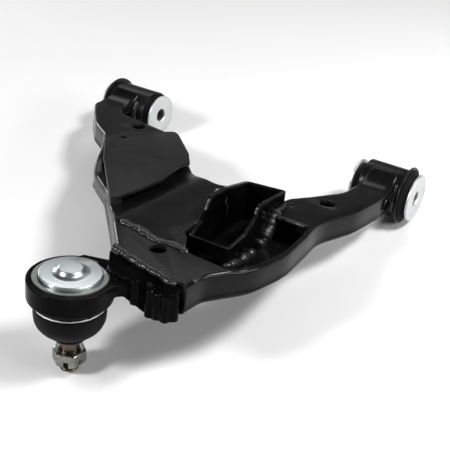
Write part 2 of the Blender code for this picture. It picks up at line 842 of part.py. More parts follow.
def stand_on_floor(root):
    """Moves the root so that the whole arm's box is centred in X and Y, with its base at Z 0."""
    bpy.context.view_layer.update()
    graph = bpy.context.evaluated_depsgraph_get()
    points = []
    for item in bpy.context.scene.objects:
        if item.type == "MESH" and not item.hide_render:
            evaluated = item.evaluated_get(graph)
            points += [evaluated.matrix_world @ vert.co for vert in evaluated.data.vertices]
    low = [min(point[axis] for point in points) for axis in range(3)]
    high = [max(point[axis] for point in points) for axis in range(3)]
    root.location -= Vector(((low[0] + high[0]) / 2, (low[1] + high[1]) / 2, low[2]))


def main():
    clear_scene()
    materials = make_materials()
    root = add_empty("control_arm", rotation=(0, -standing_tilt(), 0))
    build_upper_shell(root, materials["paint"])
    build_lower_shell(root, materials["paint"])
    build_outer_plate(root, materials["paint"])
    build_cover_plate(root, materials["paint"])
    for name in BUSHES:
        build_bush(name, root, materials)
    build_bracket(root, materials)
    build_ball_joint(root, materials)
    stand_on_floor(root)


main()
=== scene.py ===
"""Looks for the front lower control arm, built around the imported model.

Shapes are made in the arm's own frame: the origin is on the pivot axis midway between the bushes, +X points
towards the ball joint and +Y towards the front bush. ARM takes that frame to the row frame.
"""

import json
import math
import random

import bmesh
import bpy
import numpy as np
from mathutils import Matrix, Vector, noise
from mathutils.geometry import delaunay_2d_cdt


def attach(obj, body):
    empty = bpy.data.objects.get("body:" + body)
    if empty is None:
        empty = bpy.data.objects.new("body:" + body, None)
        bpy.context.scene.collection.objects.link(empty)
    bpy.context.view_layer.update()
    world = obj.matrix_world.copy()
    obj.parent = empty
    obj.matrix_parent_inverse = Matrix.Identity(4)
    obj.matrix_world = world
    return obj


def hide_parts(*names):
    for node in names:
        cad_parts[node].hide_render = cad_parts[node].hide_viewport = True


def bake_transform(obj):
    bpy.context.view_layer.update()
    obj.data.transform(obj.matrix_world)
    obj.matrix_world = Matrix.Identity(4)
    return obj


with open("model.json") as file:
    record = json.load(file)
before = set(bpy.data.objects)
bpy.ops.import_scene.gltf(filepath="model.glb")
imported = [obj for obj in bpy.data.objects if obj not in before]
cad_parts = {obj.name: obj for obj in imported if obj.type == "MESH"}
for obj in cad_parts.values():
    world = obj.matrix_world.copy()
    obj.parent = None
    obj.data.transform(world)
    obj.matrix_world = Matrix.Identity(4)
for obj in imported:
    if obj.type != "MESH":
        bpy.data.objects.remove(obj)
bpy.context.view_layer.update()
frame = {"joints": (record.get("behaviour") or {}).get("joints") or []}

# Layout, as in the solids
HALF_SPACING = 0.1845
BALL = (0.387, 0.0555)
BALL_Z = -0.0185
SHEET = 0.0035
TOP_Z = 0.014
FLOOR_Z = -0.016
SEAM_Z = -0.010
TUBE_RADIUS = 0.02875
BRACKET = Matrix.Translation((0.1600, 0.1123, 0)) @ Matrix.Rotation(math.radians(4.2), 4, "Z")
BRACKET_HALF = 0.0225
FRONT_TOOLING_HOLE = (0.1216, 0.1660, 0.0088)
REAR_TOOLING_HOLE = (0.0903, -0.1145, 0.0088)
LOCATING_HOLE = (0.1528, 0.1400, 0.0028)
COVER_HOLE = (0.1420, -0.0950, 0.0042)
OUTER_HOLE = (0.3220, 0.0980, 0.0080)
END_LINE = ((0.3468, 0.0600), (0.3575, 0.1522))

ARM_OUTLINE = (
    (0.0137, 0.2020, 0.009),
    (0.0137, 0.1660, 0.009),
    (0.0500, 0.1650, 0.010),
    (0.0800, 0.1635, 0.040),
    (0.1170, 0.1425, 0.060),
    (0.1380, 0.1290, 0.012),
    (0.1500, 0.1265, 0.005),
    (0.1500, 0.0770, 0.006),
    (0.1640, 0.0580, 0.020),
    (0.1580, 0.0260, 0.060),
    (0.1280, -0.0120, 0.080),
    (0.0780, -0.0700, 0.050),
    (0.0710, -0.1180, 0.050),
    (0.0640, -0.1600, 0.014),
    (0.0500, -0.1733, 0.010),
    (0.0137, -0.1735, 0.007),
    (0.0137, -0.2155, 0.007),
    (0.0450, -0.2156, 0.010),
    (0.0620, -0.2128, 0.014),
    (0.0860, -0.1920, 0.040),
    (0.1190, -0.1600, 0.040),
    (0.1400, -0.1270, 0.030),
    (0.1740, -0.1010, 0.040),
    (0.2240, -0.0680, 0.050),
    (0.2540, -0.0230, 0.080),
    (0.2930, 0.0170, 0.100),
    (0.3440, 0.0680, 0.004),
    (0.3660, 0.1000, 0.012),
    (0.3770, 0.1400, 0.010),
    (0.3720, 0.1560, 0.006),
    (0.3340, 0.1575, 0.030),
    (0.2920, 0.1820, 0.060),
    (0.2480, 0.1895, 0.080),
    (0.2000, 0.1850, 0.080),
    (0.1650, 0.1810, 0.080),
    (0.1120, 0.1980, 0.100),
    (0.0600, 0.2028, 0.040),
)
TOP_OPENING = (
    (0.1545, 0.0900),
    (0.1570, 0.0875),
    (0.2810, 0.0965),
    (0.2895, 0.1060),
    (0.3110, 0.1190),
    (0.3110, 0.2100),
    (0.1880, 0.2100),
    (0.1860, 0.1745),
    (0.1880, 0.1395),
    (0.1545, 0.1368),
)
SHELL_END = (
    (0.3020, 0.0000),
    (0.4200, 0.0000),
    (0.4200, 0.2200),
    (0.3110, 0.2200),
    (0.3110, 0.1190),
    (0.3125, 0.0950),
    (0.3050, 0.0640),
)
COVER_OUTLINE = (
    (0.1600, -0.1080, 0.008),
    (0.2080, -0.0680, 0.040),
    (0.2840, 0.0080, 0.008),
    (0.2480, 0.0125, 0.030),
    (0.2090, 0.0140, 0.020),
    (0.1620, 0.0035, 0.030),
    (0.1480, 0.0065, 0.004),
    (0.1260, -0.0110, 0.012),
    (0.0850, -0.0560, 0.010),
    (0.0790, -0.0660, 0.010),
    (0.1310, -0.1080, 0.010),
)
OUTER_OUTLINE = (
    (0.3050, 0.0346, 0.002),
    (0.3468, 0.0760, 0.003),
    (0.3560, 0.1440, 0.004),
    (0.3530, 0.1510, 0.002),
    (0.3300, 0.1545, 0.010),
    (0.3090, 0.1680, 0.003),
    (0.3085, 0.1190, 0.002),
    (0.3100, 0.0950, 0.002),
    (0.3030, 0.0640, 0.002),
)


def arm_matrix():
    """The arm's frame in the row frame, from the pivot and stud joints."""
    joints = {joint["name"]: joint for joint in frame["joints"]}
    front = Vector(joints["front_bush_twist"]["pos_m"])
    rear = Vector(joints["rear_bush_twist"]["pos_m"])
    up = Vector(joints["stud_spin"]["axis"]).normalized()
    along = Vector((0, 1, 0)).cross(up).normalized()
    axes = Matrix((along, Vector((0, 1, 0)), up)).transposed().to_4x4()
    return Matrix.Translation((front + rear) / 2) @ axes


ARM = arm_matrix()

# ---------------------------------------------------------------- materials


class Nodes:
    """Adds and links shader nodes in one material."""

    def __init__(self, name):
        self.material = bpy.data.materials.new(name)
        self.material.use_nodes = True
        self.tree = self.material.node_tree
        self.shader = self.tree.nodes["Principled BSDF"]

    def add(self, kind, **inputs):
        node = self.tree.nodes.new(kind)
        for key, value in inputs.items():
            if key in node.inputs:
                self.feed(node.inputs[key], value)
            else:
                setattr(node, key, value)
        return node

    def feed(self, socket, value):
        if isinstance(value, bpy.types.NodeSocket):
            self.tree.links.new(value, socket)
        else:
            socket.default_value = value

    def surface(self, name, value):
        """Sets or links one of the shader's own sockets."""
        self.feed(self.shader.inputs[name], value)

    def coords(self, scale=(1, 1, 1)):
        place = self.add("ShaderNodeTexCoord")
        mapping = self.add("ShaderNodeMapping")
        self.feed(mapping.inputs["Vector"], place.outputs["Object"])
        mapping.inputs["Scale"].default_value = scale
        return mapping.outputs["Vector"]

    def noise(self, scale, detail=3.0, roughness=0.55, stretch=(1, 1, 1), distortion=0.0):
        node = self.add("ShaderNodeTexNoise", Scale=scale, Detail=detail, Roughness=roughness)
        node.inputs["Distortion"].default_value = distortion
        self.feed(node.inputs["Vector"], self.coords(stretch))
        return node.outputs["Fac"]

    def ramp(self, factor, stops):
        node = self.add("ShaderNodeValToRGB")
        self.feed(node.inputs["Fac"], factor)
        node.color_ramp.elements[0].position = stops[0][0]
        node.color_ramp.elements[0].color = (*stops[0][1], 1)
        node.color_ramp.elements[1].position = stops[-1][0]
        node.color_ramp.elements[1].color = (*stops[-1][1], 1)
        for position, colour in stops[1:-1]:
            node.color_ramp.elements.new(position).color = (*colour, 1)
        return node.outputs["Color"]

    def remap(self, value, low, high, start=0.0, end=1.0):
        node = self.add("ShaderNodeMapRange")
        self.feed(node.inputs["Value"], value)
        node.inputs["From Min"].default_value = start
        node.inputs["From Max"].default_value = end
        node.inputs["To Min"].default_value = low
        node.inputs["To Max"].default_value = high
        return node.outputs["Result"]

    def math(self, operation, first, second):
        node = self.add("ShaderNodeMath", operation=operation)
        self.feed(node.inputs[0], first)
        self.feed(node.inputs[1], second)
        return node.outputs["Value"]

    def mix(self, factor, first, second):
        node = self.add("ShaderNodeMix", data_type="RGBA")
        self.feed(node.inputs["Factor"], factor)
        self.feed(node.inputs[6], first)
        self.feed(node.inputs[7], second)
        return node.outputs[2]

    def bump(self, height, strength, distance, before=None):
        node = self.add("ShaderNodeBump", Strength=strength, Distance=distance)
        self.feed(node.inputs["Height"], height)
        if before is not None:
            self.feed(node.inputs["Normal"], before)
        return node.outputs["Normal"]


def paint(name, colour, rough, peel=0.25, waves=0.3, dust=0.05, level=0.22, grit=0.10):
    """Black paint: slightly wavy, with orange peel, faint dust and thin wear on hard edges."""
    n = Nodes(name)
    grey = tuple(c * 1.6 + 0.002 for c in colour)
    cloud = n.noise(28, 5, 0.6)
    fine = n.noise(420, 3, 0.6)
    specks = n.noise(1500, 2, 0.5)
    speck = n.remap(specks, 0.0, 1.0, 0.72, 0.80)
    tone = n.ramp(cloud, ((0.35, colour), (0.70, grey)))
    dusty = n.mix(n.math("MULTIPLY", speck, dust), tone, (0.22, 0.21, 0.20, 1))
    edge = n.add("ShaderNodeNewGeometry").outputs["Pointiness"]
    bare = n.remap(edge, 0.0, 1.0, 0.515, 0.56)
    worn = n.math("MULTIPLY", bare, n.remap(fine, 0.0, 0.45, 0.35, 0.75))
    n.surface("Base Color", n.mix(worn, dusty, (0.050, 0.048, 0.045, 1)))
    patchy = n.remap(cloud, rough * 0.8, rough * 1.25, 0.3, 0.7)
    spread = n.math("ADD", patchy, n.remap(fine, 0.0, 0.07, 0.3, 0.8))
    n.surface("Roughness", n.math("ADD", spread, n.math("MULTIPLY", speck, 0.2)))
    n.surface("Specular IOR Level", level)
    broad = n.bump(n.noise(38, 2, 0.4), waves, 0.0012)
    peeled = n.bump(n.noise(520, 2, 0.5), peel, 0.00012, broad)
    n.surface("Normal", n.bump(specks, grit, 0.00006, peeled))
    return n.material


def plated(name, colour, rough, tint, streak=(1, 1, 1), grain=0.2, stain=0.25):
    """Zinc plate or bare steel: blotchy sheen, fine tool marks and faint stains."""
    n = Nodes(name)
    cloud = n.noise(45, 6, 0.6)
    marks = n.noise(900, 4, 0.7, streak)
    bright = tuple(min(1, c * 1.06) for c in colour)
    tone = n.ramp(cloud, ((0.30, tint), (0.52, colour), (0.75, bright)))
    spots = n.remap(n.noise(260, 4, 0.7), 0.0, stain, 0.62, 0.80)
    n.surface("Base Color", n.mix(spots, tone, tuple(c * 0.45 for c in tint) + (1,)))
    n.surface("Metallic", 1.0)
    spread = n.math("ADD", n.remap(cloud, rough * 0.8, rough * 1.3, 0.3, 0.7), n.remap(marks, -0.04, 0.06))
    n.surface("Roughness", spread)
    dented = n.bump(n.noise(130, 3, 0.5), 0.12, 0.0003)
    n.surface("Normal", n.bump(marks, grain, 0.00005, dented))
    return n.material


def rubber(name, colour, dusty, rough=0.62, grain=0.35):
    """Moulded rubber: matte, with bloom and a fine mould texture."""
    n = Nodes(name)
    cloud = n.noise(60, 6, 0.65)
    fine = n.noise(1100, 3, 0.6)
    bloom = n.remap(cloud, 0.0, 0.55, 0.42, 0.78)
    n.surface("Base Color", n.mix(bloom, (*colour, 1), (*dusty, 1)))
    patchy = n.remap(cloud, rough, rough + 0.16)
    n.surface("Roughness", n.math("ADD", patchy, n.remap(fine, -0.04, 0.04)))
    n.surface("Specular IOR Level", 0.09)
    n.surface("Sheen Weight", 0.004)
    n.surface("Sheen Roughness", 0.5)
    soft = n.bump(n.noise(150, 3, 0.5), 0.18, 0.0004)
    n.surface("Normal", n.bump(fine, grain, 0.00008, soft))
    return n.material


def plastic(name, colour):
    """Moulded nylon: smooth, with faint clouding."""
    n = Nodes(name)
    cloud = n.noise(90, 4, 0.5)
    n.surface("Base Color", n.ramp(cloud, ((0.3, tuple(c * 0.9 for c in colour)), (0.7, colour))))
    n.surface("Roughness", n.remap(cloud, 0.38, 0.52))
    n.surface("Normal", n.bump(n.noise(700, 3), 0.15, 0.00008))
    return n.material


MATERIALS = {
    "arm_paint": paint("arm_black", (0.0030, 0.0030, 0.0032), 0.16, level=0.13),
    "plate_paint": paint("plate_black", (0.0060, 0.0060, 0.0062), 0.34, peel=0.35, waves=0.12, level=0.11),
    "eye_tube_paint": paint("tube_black", (0.0040, 0.0040, 0.0042), 0.24, waves=0.15, level=0.13),
    # Painted shade: the forged eye's own black paint, made darker and less reflective than the arm's so that
    # its walls look shaded.
    "forging_paint": paint(
        "forging_black_painted_shade", (0.0010, 0.0010, 0.0011), 0.14, waves=0.40, dust=0.006, level=0.035
    ),
    # Painted shade: the bracket's own black paint, made darker and less reflective than the arm's so that the
    # bracket's inside looks deep in shade.
    "bracket_paint": paint(
        "bracket_black_painted_shade",
        (0.0007, 0.0007, 0.0008),
        0.15,
        peel=0.05,
        waves=0.12,
        dust=0.003,
        level=0.05,
        grit=0.02,
    ),
    "weld_paint": paint("weld_black", (0.0085, 0.0083, 0.0080), 0.30, peel=0.15, waves=0.15, level=0.45),
    "sleeve_paint": paint("sleeve_black", (0.0050, 0.0050, 0.0050), 0.28, waves=0.10, level=0.15),
    "zinc": plated("washer_zinc", (0.66, 0.67, 0.67), 0.48, (0.58, 0.60, 0.61), grain=0.30, stain=0.10),
    "cap_zinc": plated("cap_zinc", (0.56, 0.61, 0.605), 0.30, (0.49, 0.53, 0.535), grain=0.08, stain=0.10),
    "ring_zinc": plated("ring_zinc", (0.26, 0.275, 0.26), 0.42, (0.20, 0.21, 0.20), grain=0.12, stain=0.15),
    # The nut's dull dark finish, made darker still as painted shade for the dark surroundings its faces
    # reflect.
    "nut_zinc": plated("nut_zinc", (0.24, 0.235, 0.22), 0.26, (0.12, 0.115, 0.105), grain=0.30, stain=0.30),
    "stud_steel": plated(
        "stud_steel", (0.115, 0.092, 0.072), 0.28, (0.065, 0.052, 0.040), (1, 1, 9), 0.45, 0.4
    ),
    "sleeve_steel": plated("sleeve_steel", (0.40, 0.39, 0.38), 0.34, (0.28, 0.27, 0.26), (1, 9, 1), 0.4, 0.4),
    "bare_steel": plated("bare_steel", (0.46, 0.44, 0.42), 0.36, (0.33, 0.31, 0.29), grain=0.3, stain=0.4),
    "bush_rubber": rubber("bush_rubber", (0.006, 0.006, 0.006), (0.016, 0.0155, 0.015)),
    "boot_rubber": rubber("boot_rubber", (0.0012, 0.0012, 0.0012), (0.0024, 0.0024, 0.0023), 0.44, 0.25),
    "seat_nylon": plastic("seat_nylon", (0.72, 0.68, 0.56)),
}

# ---------------------------------------------------------------- outlines


def corner_curve(before, corner, after, reach, steps):
    """Points of a curve that cuts a corner off, at a given reach along the directions before and after it."""
    start = corner + before.normalized() * reach
    end = corner + after.normalized() * reach
    shares = [step / steps for step in range(steps + 1)]
    return [(1 - t) ** 2 * start + 2 * t * (1 - t) * corner + t**2 * end for t in shares]


def rounded(outline, steps=6):
    """Points of a closed outline of (x, y, radius) corners, with a curve at each corner that has a radius."""
    points = []
    for index, (x, y, radius) in enumerate(outline):
        corner = Vector((x, y))
        if not radius:
            points.append(corner)
            continue
        before = Vector(outline[index - 1][:2]) - corner
        after = Vector(outline[(index + 1) % len(outline)][:2]) - corner
        half = before.angle(after) / 2
        reach = min(radius / math.tan(half), 0.48 * before.length, 0.48 * after.length)
        points += corner_curve(before, corner, after, reach, steps)
    return points


def inset(outline, distance):
    """A closed anticlockwise outline of (x, y, radius) corners moved inwards, its arcs staying parallel."""
    moved = []
    for index, (x, y, radius) in enumerate(outline):
        corner = Vector((x, y))
        before = (corner - Vector(outline[index - 1][:2])).normalized()
        after = (Vector(outline[(index + 1) % len(outline)][:2]) - corner).normalized()
        inwards = Vector((-before.y - after.y, before.x + after.x)).normalized()
        corner += inwards * (distance / inwards.dot(Vector((-before.y, before.x))))
        if radius:
            bends_out = before.cross(after) > 0
            radius = max(0.0006, radius - distance if bends_out else radius + distance)
        moved.append((corner.x, corner.y, radius))
    return moved


def ring_family(outline, distances, spacing):
    """The outline at several insets, resampled alike so that point k of each lies on one normal."""
    base = [rounded(inset(outline, distance)) for distance in distances]
    counts = []
    for index, point in enumerate(base[0]):
        length = (base[0][(index + 1) % len(base[0])] - point).length
        counts.append(max(1, round(length / spacing)))
    family = []
    for ring in base:
        points = []
        for index, count in enumerate(counts):
            following = ring[(index + 1) % len(ring)]
            points += [ring[index].lerp(following, step / count) for step in range(count)]
        family.append(points)
    return family


def inside(point, polygon):
    found = False
    x, y = point[0], point[1]
    for index, a in enumerate(polygon):
        b = polygon[index - 1]
        if (a[1] > y) != (b[1] > y) and x < (b[0] - a[0]) * (y - a[1]) / (b[1] - a[1]) + a[0]:
            found = not found
    return found


def distance_to(point, polygon):
    p = np.array(point[:2])
    a = np.array([q[:2] for q in polygon])
    b = np.roll(a, -1, axis=0)
    along = b - a
    t = np.clip(((p - a) * along).sum(1) / np.maximum((along**2).sum(1), 1e-12), 0, 1)
    return float(np.sqrt(((a + along * t[:, None] - p) ** 2).sum(1)).min())


def circle(x, y, radius, steps=36):
    turns = [math.tau * step / steps for step in range(steps)]
    return [Vector((x + radius * math.cos(a), y + radius * math.sin(a))) for a in turns]


def grid_step(x):
    """Spacing of the points inside a shell's face: close over the straps, wide over the flat part."""
    return 0.0032 if x < 0.060 else 0.0085


def filled(border, openings):
    """A triangulated region inside border and outside the openings, as (points, triangles)."""
    loops = [border, *openings]
    points, edges = [], []
    for loop in loops:
        first = len(points)
        points += [Vector(p[:2]) for p in loop]
        edges += [(first + k, first + (k + 1) % len(loop)) for k in range(len(loop))]
    xs = [p[0] for p in border]
    ys = [p[1] for p in border]
    x = min(xs)
    row = 0
    while x < max(xs):
        step = grid_step(x)
        y = min(ys) + (step / 2 if row % 2 else 0)
        while y < max(ys):
            clear = inside((x, y), border) and not any(inside((x, y), loop) for loop in openings)
            if clear and min(distance_to((x, y), loop) for loop in loops) > 0.45 * step:
                points.append(Vector((x, y)))
            y += step
        x += step * 0.866
        row += 1
    places, _, triangles, *_ = delaunay_2d_cdt(points, edges, [], 0, 1e-7)
    kept = []
    for triangle in triangles:
        centre = sum((places[k] for k in triangle), Vector((0, 0))) / 3
        if inside(centre, border) and not any(inside(centre, loop) for loop in openings):
            kept.append(triangle)
    return places, kept


# ---------------------------------------------------------------- mesh helpers


def smooth(mesh, angle):
    """Smooth shading, with sharp edges where faces meet at more than an angle in degrees."""
    mesh.shade_smooth()
    mesh.set_sharp_from_angle(angle=math.radians(angle))


def to_object(name, shape, smooth_angle=40):
    mesh = bpy.data.meshes.new(name)
    shape.to_mesh(mesh)
    shape.free()
    smooth(mesh, smooth_angle)
    item = bpy.data.objects.new(name, mesh)
    bpy.context.scene.collection.objects.link(item)
    return item


def modify(item, kind, **settings):
    modifier = item.modifiers.new(kind.lower(), kind)
    for key, value in settings.items():
        setattr(modifier, key, value)


def bake(item):
    """Applies an object's modifiers to its mesh."""
    bpy.context.view_layer.update()
    evaluated = item.evaluated_get(bpy.context.evaluated_depsgraph_get())
    mesh = bpy.data.meshes.new_from_object(evaluated)
    item.modifiers.clear()
    item.data = mesh
    smooth(mesh, 40)
    return item


def cut(item, cutter):
    modify(item, "BOOLEAN", operation="DIFFERENCE", solver="EXACT", object=cutter)
    bake(item)
    bpy.data.objects.remove(cutter)


def rounded_edges(item, width, segments=2, angle=40):
    limit = math.radians(angle)
    modify(item, "BEVEL", width=width, segments=segments, limit_method="ANGLE", angle_limit=limit)
    return bake(item)


def place(item, body, slot, replaces=(), local=None, material=None):
    """Puts a shape made in the arm's frame, or in a local frame of it, onto its body."""
    item.data.transform(ARM if local is None else ARM @ local)
    item.data.materials.clear()
    item.data.materials.append(MATERIALS[material or slot])
    if body:
        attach(item, body)
    if replaces:
        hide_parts(*replaces)


def face_out(shape):
    bmesh.ops.recalc_face_normals(shape, faces=shape.faces)


def circle_verts(shape, radius, z, segments):
    turns = [math.tau * step / segments for step in range(segments)]
    return [shape.verts.new((radius * math.cos(a), radius * math.sin(a), z)) for a in turns]


def bridge(shape, lower, upper):
    """Joins two closed rows of vertices with a band of faces."""
    for index in range(len(lower)):
        following = (index + 1) % len(lower)
        shape.faces.new((lower[index], lower[following], upper[following], upper[index]))


def lofted(shape, rings):
    """Joins a row of rings into a closed solid with flat ends."""
    for before, after in zip(rings, rings[1:]):
        bridge(shape, before, after)
    shape.faces.new(reversed(rings[0]))
    shape.faces.new(rings[-1])
    face_out(shape)
    return shape


def divided(profile, longest=0.006):
    """A closed profile with its long sides split, so that wear stays close to the edges."""
    result = []
    for index, (radius, z) in enumerate(profile):
        next_radius, next_z = profile[(index + 1) % len(profile)]
        last = index == len(profile) - 1
        length = math.hypot(next_radius - radius, next_z - z)
        parts = 1 if last and radius <= 0 else max(1, int(length / longest))
        for part in range(parts):
            share = part / parts
            result.append((radius + (next_radius - radius) * share, z + (next_z - z) * share))
    return result


def turned(profile, segments=96):
    """A solid of revolution about Z from a closed profile of (radius, z); radius 0 lies on the axis."""
    shape = bmesh.new()
    rings = []
    profile = divided(profile)
    for radius, z in profile:
        if radius <= 0:
            rings.append([shape.verts.new((0, 0, z))])
        else:
            rings.append(circle_verts(shape, radius, z, segments))
    closed = profile[0][0] > 0
    for index in range(len(rings) if closed else len(rings) - 1):
        lower, upper = rings[index], rings[(index + 1) % len(rings)]
        for step in range(segments):
            following = (step + 1) % segments
            if len(lower) == 1:
                shape.faces.new((lower[0], upper[following], upper[step]))
            elif len(upper) == 1:
                shape.faces.new((lower[step], lower[following], upper[0]))
            else:
                shape.faces.new((lower[step], lower[following], upper[following], upper[step]))
    face_out(shape)
    return shape


def softened(profile, radius, steps=3, closed=True):
    """A profile of (r, z) points with its corners rounded."""
    points = [Vector(point) for point in profile]
    result = []
    for index, corner in enumerate(points):
        if not closed and index in (0, len(points) - 1):
            result.append(corner)
            continue
        before = points[index - 1] - corner
        after = points[(index + 1) % len(points)] - corner
        reach = min(radius, 0.45 * before.length, 0.45 * after.length)
        result += corner_curve(before, corner, after, reach, steps)
    return [(max(0.0, point.x), point.y) for point in result]


def sloped_prism(points, low, top):
    """An upright block whose ends follow two height functions of (x, y)."""
    shape = bmesh.new()
    lower = [shape.verts.new((p[0], p[1], low(p[0], p[1]))) for p in points]
    upper = [shape.verts.new((p[0], p[1], top(p[0], p[1]))) for p in points]
    return lofted(shape, [lower, upper])


def prism(points, low, high):
    return sloped_prism(points, lambda x, y: low, lambda x, y: high)


def about_y(x=0.0, y=0.0, z=0.0, side=1):
    """A frame whose Z runs along the arm's Y, or against it for side -1."""
    return Matrix.Translation((x, y, z)) @ Matrix.Rotation(-side * math.pi / 2, 4, "X")


# ---------------------------------------------------------------- pressed shells

STRAP_TOP = TUBE_RADIUS + 0.0003 + SHEET
WRAP_END = math.radians(40)
HOLLOW = (TOP_Z - STRAP_TOP * math.cos(WRAP_END)) / (math.cos(WRAP_END) - 1)
HOLLOW_END = (STRAP_TOP + HOLLOW) * math.sin(WRAP_END)
FOLD = 0.0044
POCKET_DROP = 0.0012


def ease(value):
    value = min(1.0, max(0.0, value))
    return value * value * (3 - 2 * value)


def top_height(x, y):
    """Height of the upper shell's face: flat, with straps over the bushes and a dip at the cover plate."""
    if x < STRAP_TOP * math.sin(WRAP_END):
        return math.sqrt(STRAP_TOP**2 - x**2)
    if x < HOLLOW_END:
        return TOP_Z + HOLLOW * (1 - math.sqrt(1 - ((HOLLOW_END - x) / HOLLOW) ** 2))
    middle = ease((x - 0.120) / 0.030) * ease((y + 0.085) / 0.030) * (1 - ease((y - 0.004) / 0.038))
    return TOP_Z - 0.0065 * middle


def pocket_drop(x, y):
    """How far the wall's rim beside the pocket lies below the rest of the face."""
    if y < 0.150:
        return 0.0
    return POCKET_DROP * ease((x - 0.190) / 0.016) * ease((0.3140 - x) / 0.010)


def wall_foot(x, y):
    """Height of the upper shell's wall at its free edge: it rises where the straps leave the box."""
    free = top_height(x, y) - 0.0085
    return SEAM_Z + (free - SEAM_Z) * (1 - ease((x - 0.046) / 0.010))


def shell_surface(outline, height, foot, openings, fold=FOLD, drop=None, flare=0.0):
    """An open pressed surface: a face, a rounded fold and a wall down to its free edge."""
    turns = [math.pi / 2 * step / 5 for step in range(6)]
    distances = [fold * (1 - math.sin(a)) for a in turns]
    family = ring_family(outline, distances, 0.0035)
    shape = bmesh.new()
    rings = []
    outer = family[-1]
    for turn, ring in zip(turns, family):
        row = []
        for point, base in zip(ring, outer):
            lowered = drop(base.x, base.y) if drop else 0.0
            z = height(point.x, point.y) - fold * (1 - math.cos(turn)) - lowered
            row.append(shape.verts.new((point.x, point.y, z)))
        rings.append(row)
    for share, spread in ((0.34, 0.0), (0.67, 0.0), (0.90, 0.0), (0.95, 0.6), (1.0, 1.0)):
        row = []
        for vert, point, base in zip(rings[5], outer, family[0]):
            low = foot(point.x, point.y)
            edge = point + (point - base).normalized() * flare * spread
            row.append(shape.verts.new((edge.x, edge.y, vert.co.z + (low - vert.co.z) * share)))
        rings.append(row)
    for upper, lower in zip(rings, rings[1:]):
        bridge(shape, lower, upper)
    places, triangles = filled(family[0], openings)
    verts = [shape.verts.new((p.x, p.y, height(p.x, p.y))) for p in places]
    for triangle in triangles:
        shape.faces.new([verts[k] for k in triangle])
    loose = [vert for vert in verts if not vert.link_faces]
    bmesh.ops.delete(shape, geom=loose, context="VERTS")
    bmesh.ops.remove_doubles(shape, verts=shape.verts, dist=2e-5)
    return shape


def pressed(name, surface, edge, node):
    """Cuts a pressed surface off at the arm's end, and gives it the sheet's thickness and soft edges."""
    start, end = (Vector((*point, 0)) for point in END_LINE)
    beyond = (end - start).cross(Vector((0, 0, 1)))
    geometry = [*surface.verts, *surface.edges, *surface.faces]
    bmesh.ops.bisect_plane(surface, geom=geometry, plane_co=start, plane_no=beyond, clear_outer=True)
    face_out(surface)
    item = to_object(name, surface)
    modify(item, "SOLIDIFY", thickness=SHEET, offset=-1)
    rounded_edges(item, edge, 2, 50)
    place(item, "arm", "arm_paint", [node])


def build_shells():
    openings = [
        [Vector(point) for point in TOP_OPENING],
        circle(*FRONT_TOOLING_HOLE),
        circle(*LOCATING_HOLE, 16),
        circle(*REAR_TOOLING_HOLE),
        circle(*COVER_HOLE[:2], 0.0048, 20),
        [Vector(point) for point in SHELL_END],
    ]
    surface = shell_surface(ARM_OUTLINE, top_height, wall_foot, openings, drop=pocket_drop, flare=0.0010)
    pressed("upper_shell_pressing", surface, 0.0007, "upper_shell")

    def floor_height(x, y):
        return -FLOOR_Z

    def floor_foot(x, y):
        seam = -SEAM_Z + 0.0004
        return seam + (-FLOOR_Z - 0.0042 - seam) * (1 - ease((x - 0.046) / 0.010))

    lower_outline = [(max(x, 0.0262), y, radius) for x, y, radius in inset(ARM_OUTLINE, 0.0019)]
    mirrored = [(x, -y, radius) for x, y, radius in reversed(lower_outline)]
    surface = shell_surface(mirrored, floor_height, floor_foot, [], 0.0036)
    bmesh.ops.transform(surface, matrix=Matrix.Rotation(math.pi, 4, "X"), verts=surface.verts)
    pressed("lower_shell_pressing", surface, 0.0006, "lower_shell")


def plate_piece(node, outline, levels, hole, edge):
    """A flat plate with one round hole and rounded edges."""
    low, high = levels
    x, y, radius = hole
    item = to_object(f"{node}_pressing", prism(rounded(outline), low, high))
    cut(item, to_object("cutter", prism(circle(x, y, radius, 40), low - 0.02, high + 0.02)))
    rounded_edges(item, edge, 3, 40)
    place(item, "arm", "plate_paint", [node])


def build_cover_lip():
    """The cover plate's turned-down edge, along the side towards the ball joint."""
    corners = (
        (0.1420, -0.1070),
        (0.1590, -0.1070),
        (0.2072, -0.0672),
        (0.2450, -0.0300),
        (0.2815, 0.0065),
        (0.2660, 0.0090),
    )
    edge = rounded([(x, y, 0.008) for x, y in corners])[1:-1]
    shape = bmesh.new()
    rings = []
    for index, point in enumerate(edge):
        before = edge[max(0, index - 1)]
        after = edge[min(len(edge) - 1, index + 1)]
        along = (after - before).normalized()
        inwards = Vector((-along.y, along.x))
        foot = TOP_Z - 0.0070 * ease(min(index, len(edge) - 1 - index) / 4)
        section = ((0.0, 0.0160), (0.0, foot), (0.0030, foot), (0.0030, 0.0160))
        rings.append([shape.verts.new((*(point + inwards * across), z)) for across, z in section])
    item = rounded_edges(to_object("cover_plate_lip", lofted(shape, rings)), 0.0006, 2, 50)
    place(item, "arm", "plate_paint")


def build_plates():
    build_cover_lip()
    plate_piece("cover_plate", COVER_OUTLINE, (0.0145, 0.0185), COVER_HOLE, 0.0009)
    plate_piece("outer_top_plate", OUTER_OUTLINE, (0.0085, 0.0120), OUTER_HOLE, 0.0008)


# ---------------------------------------------------------------- welds


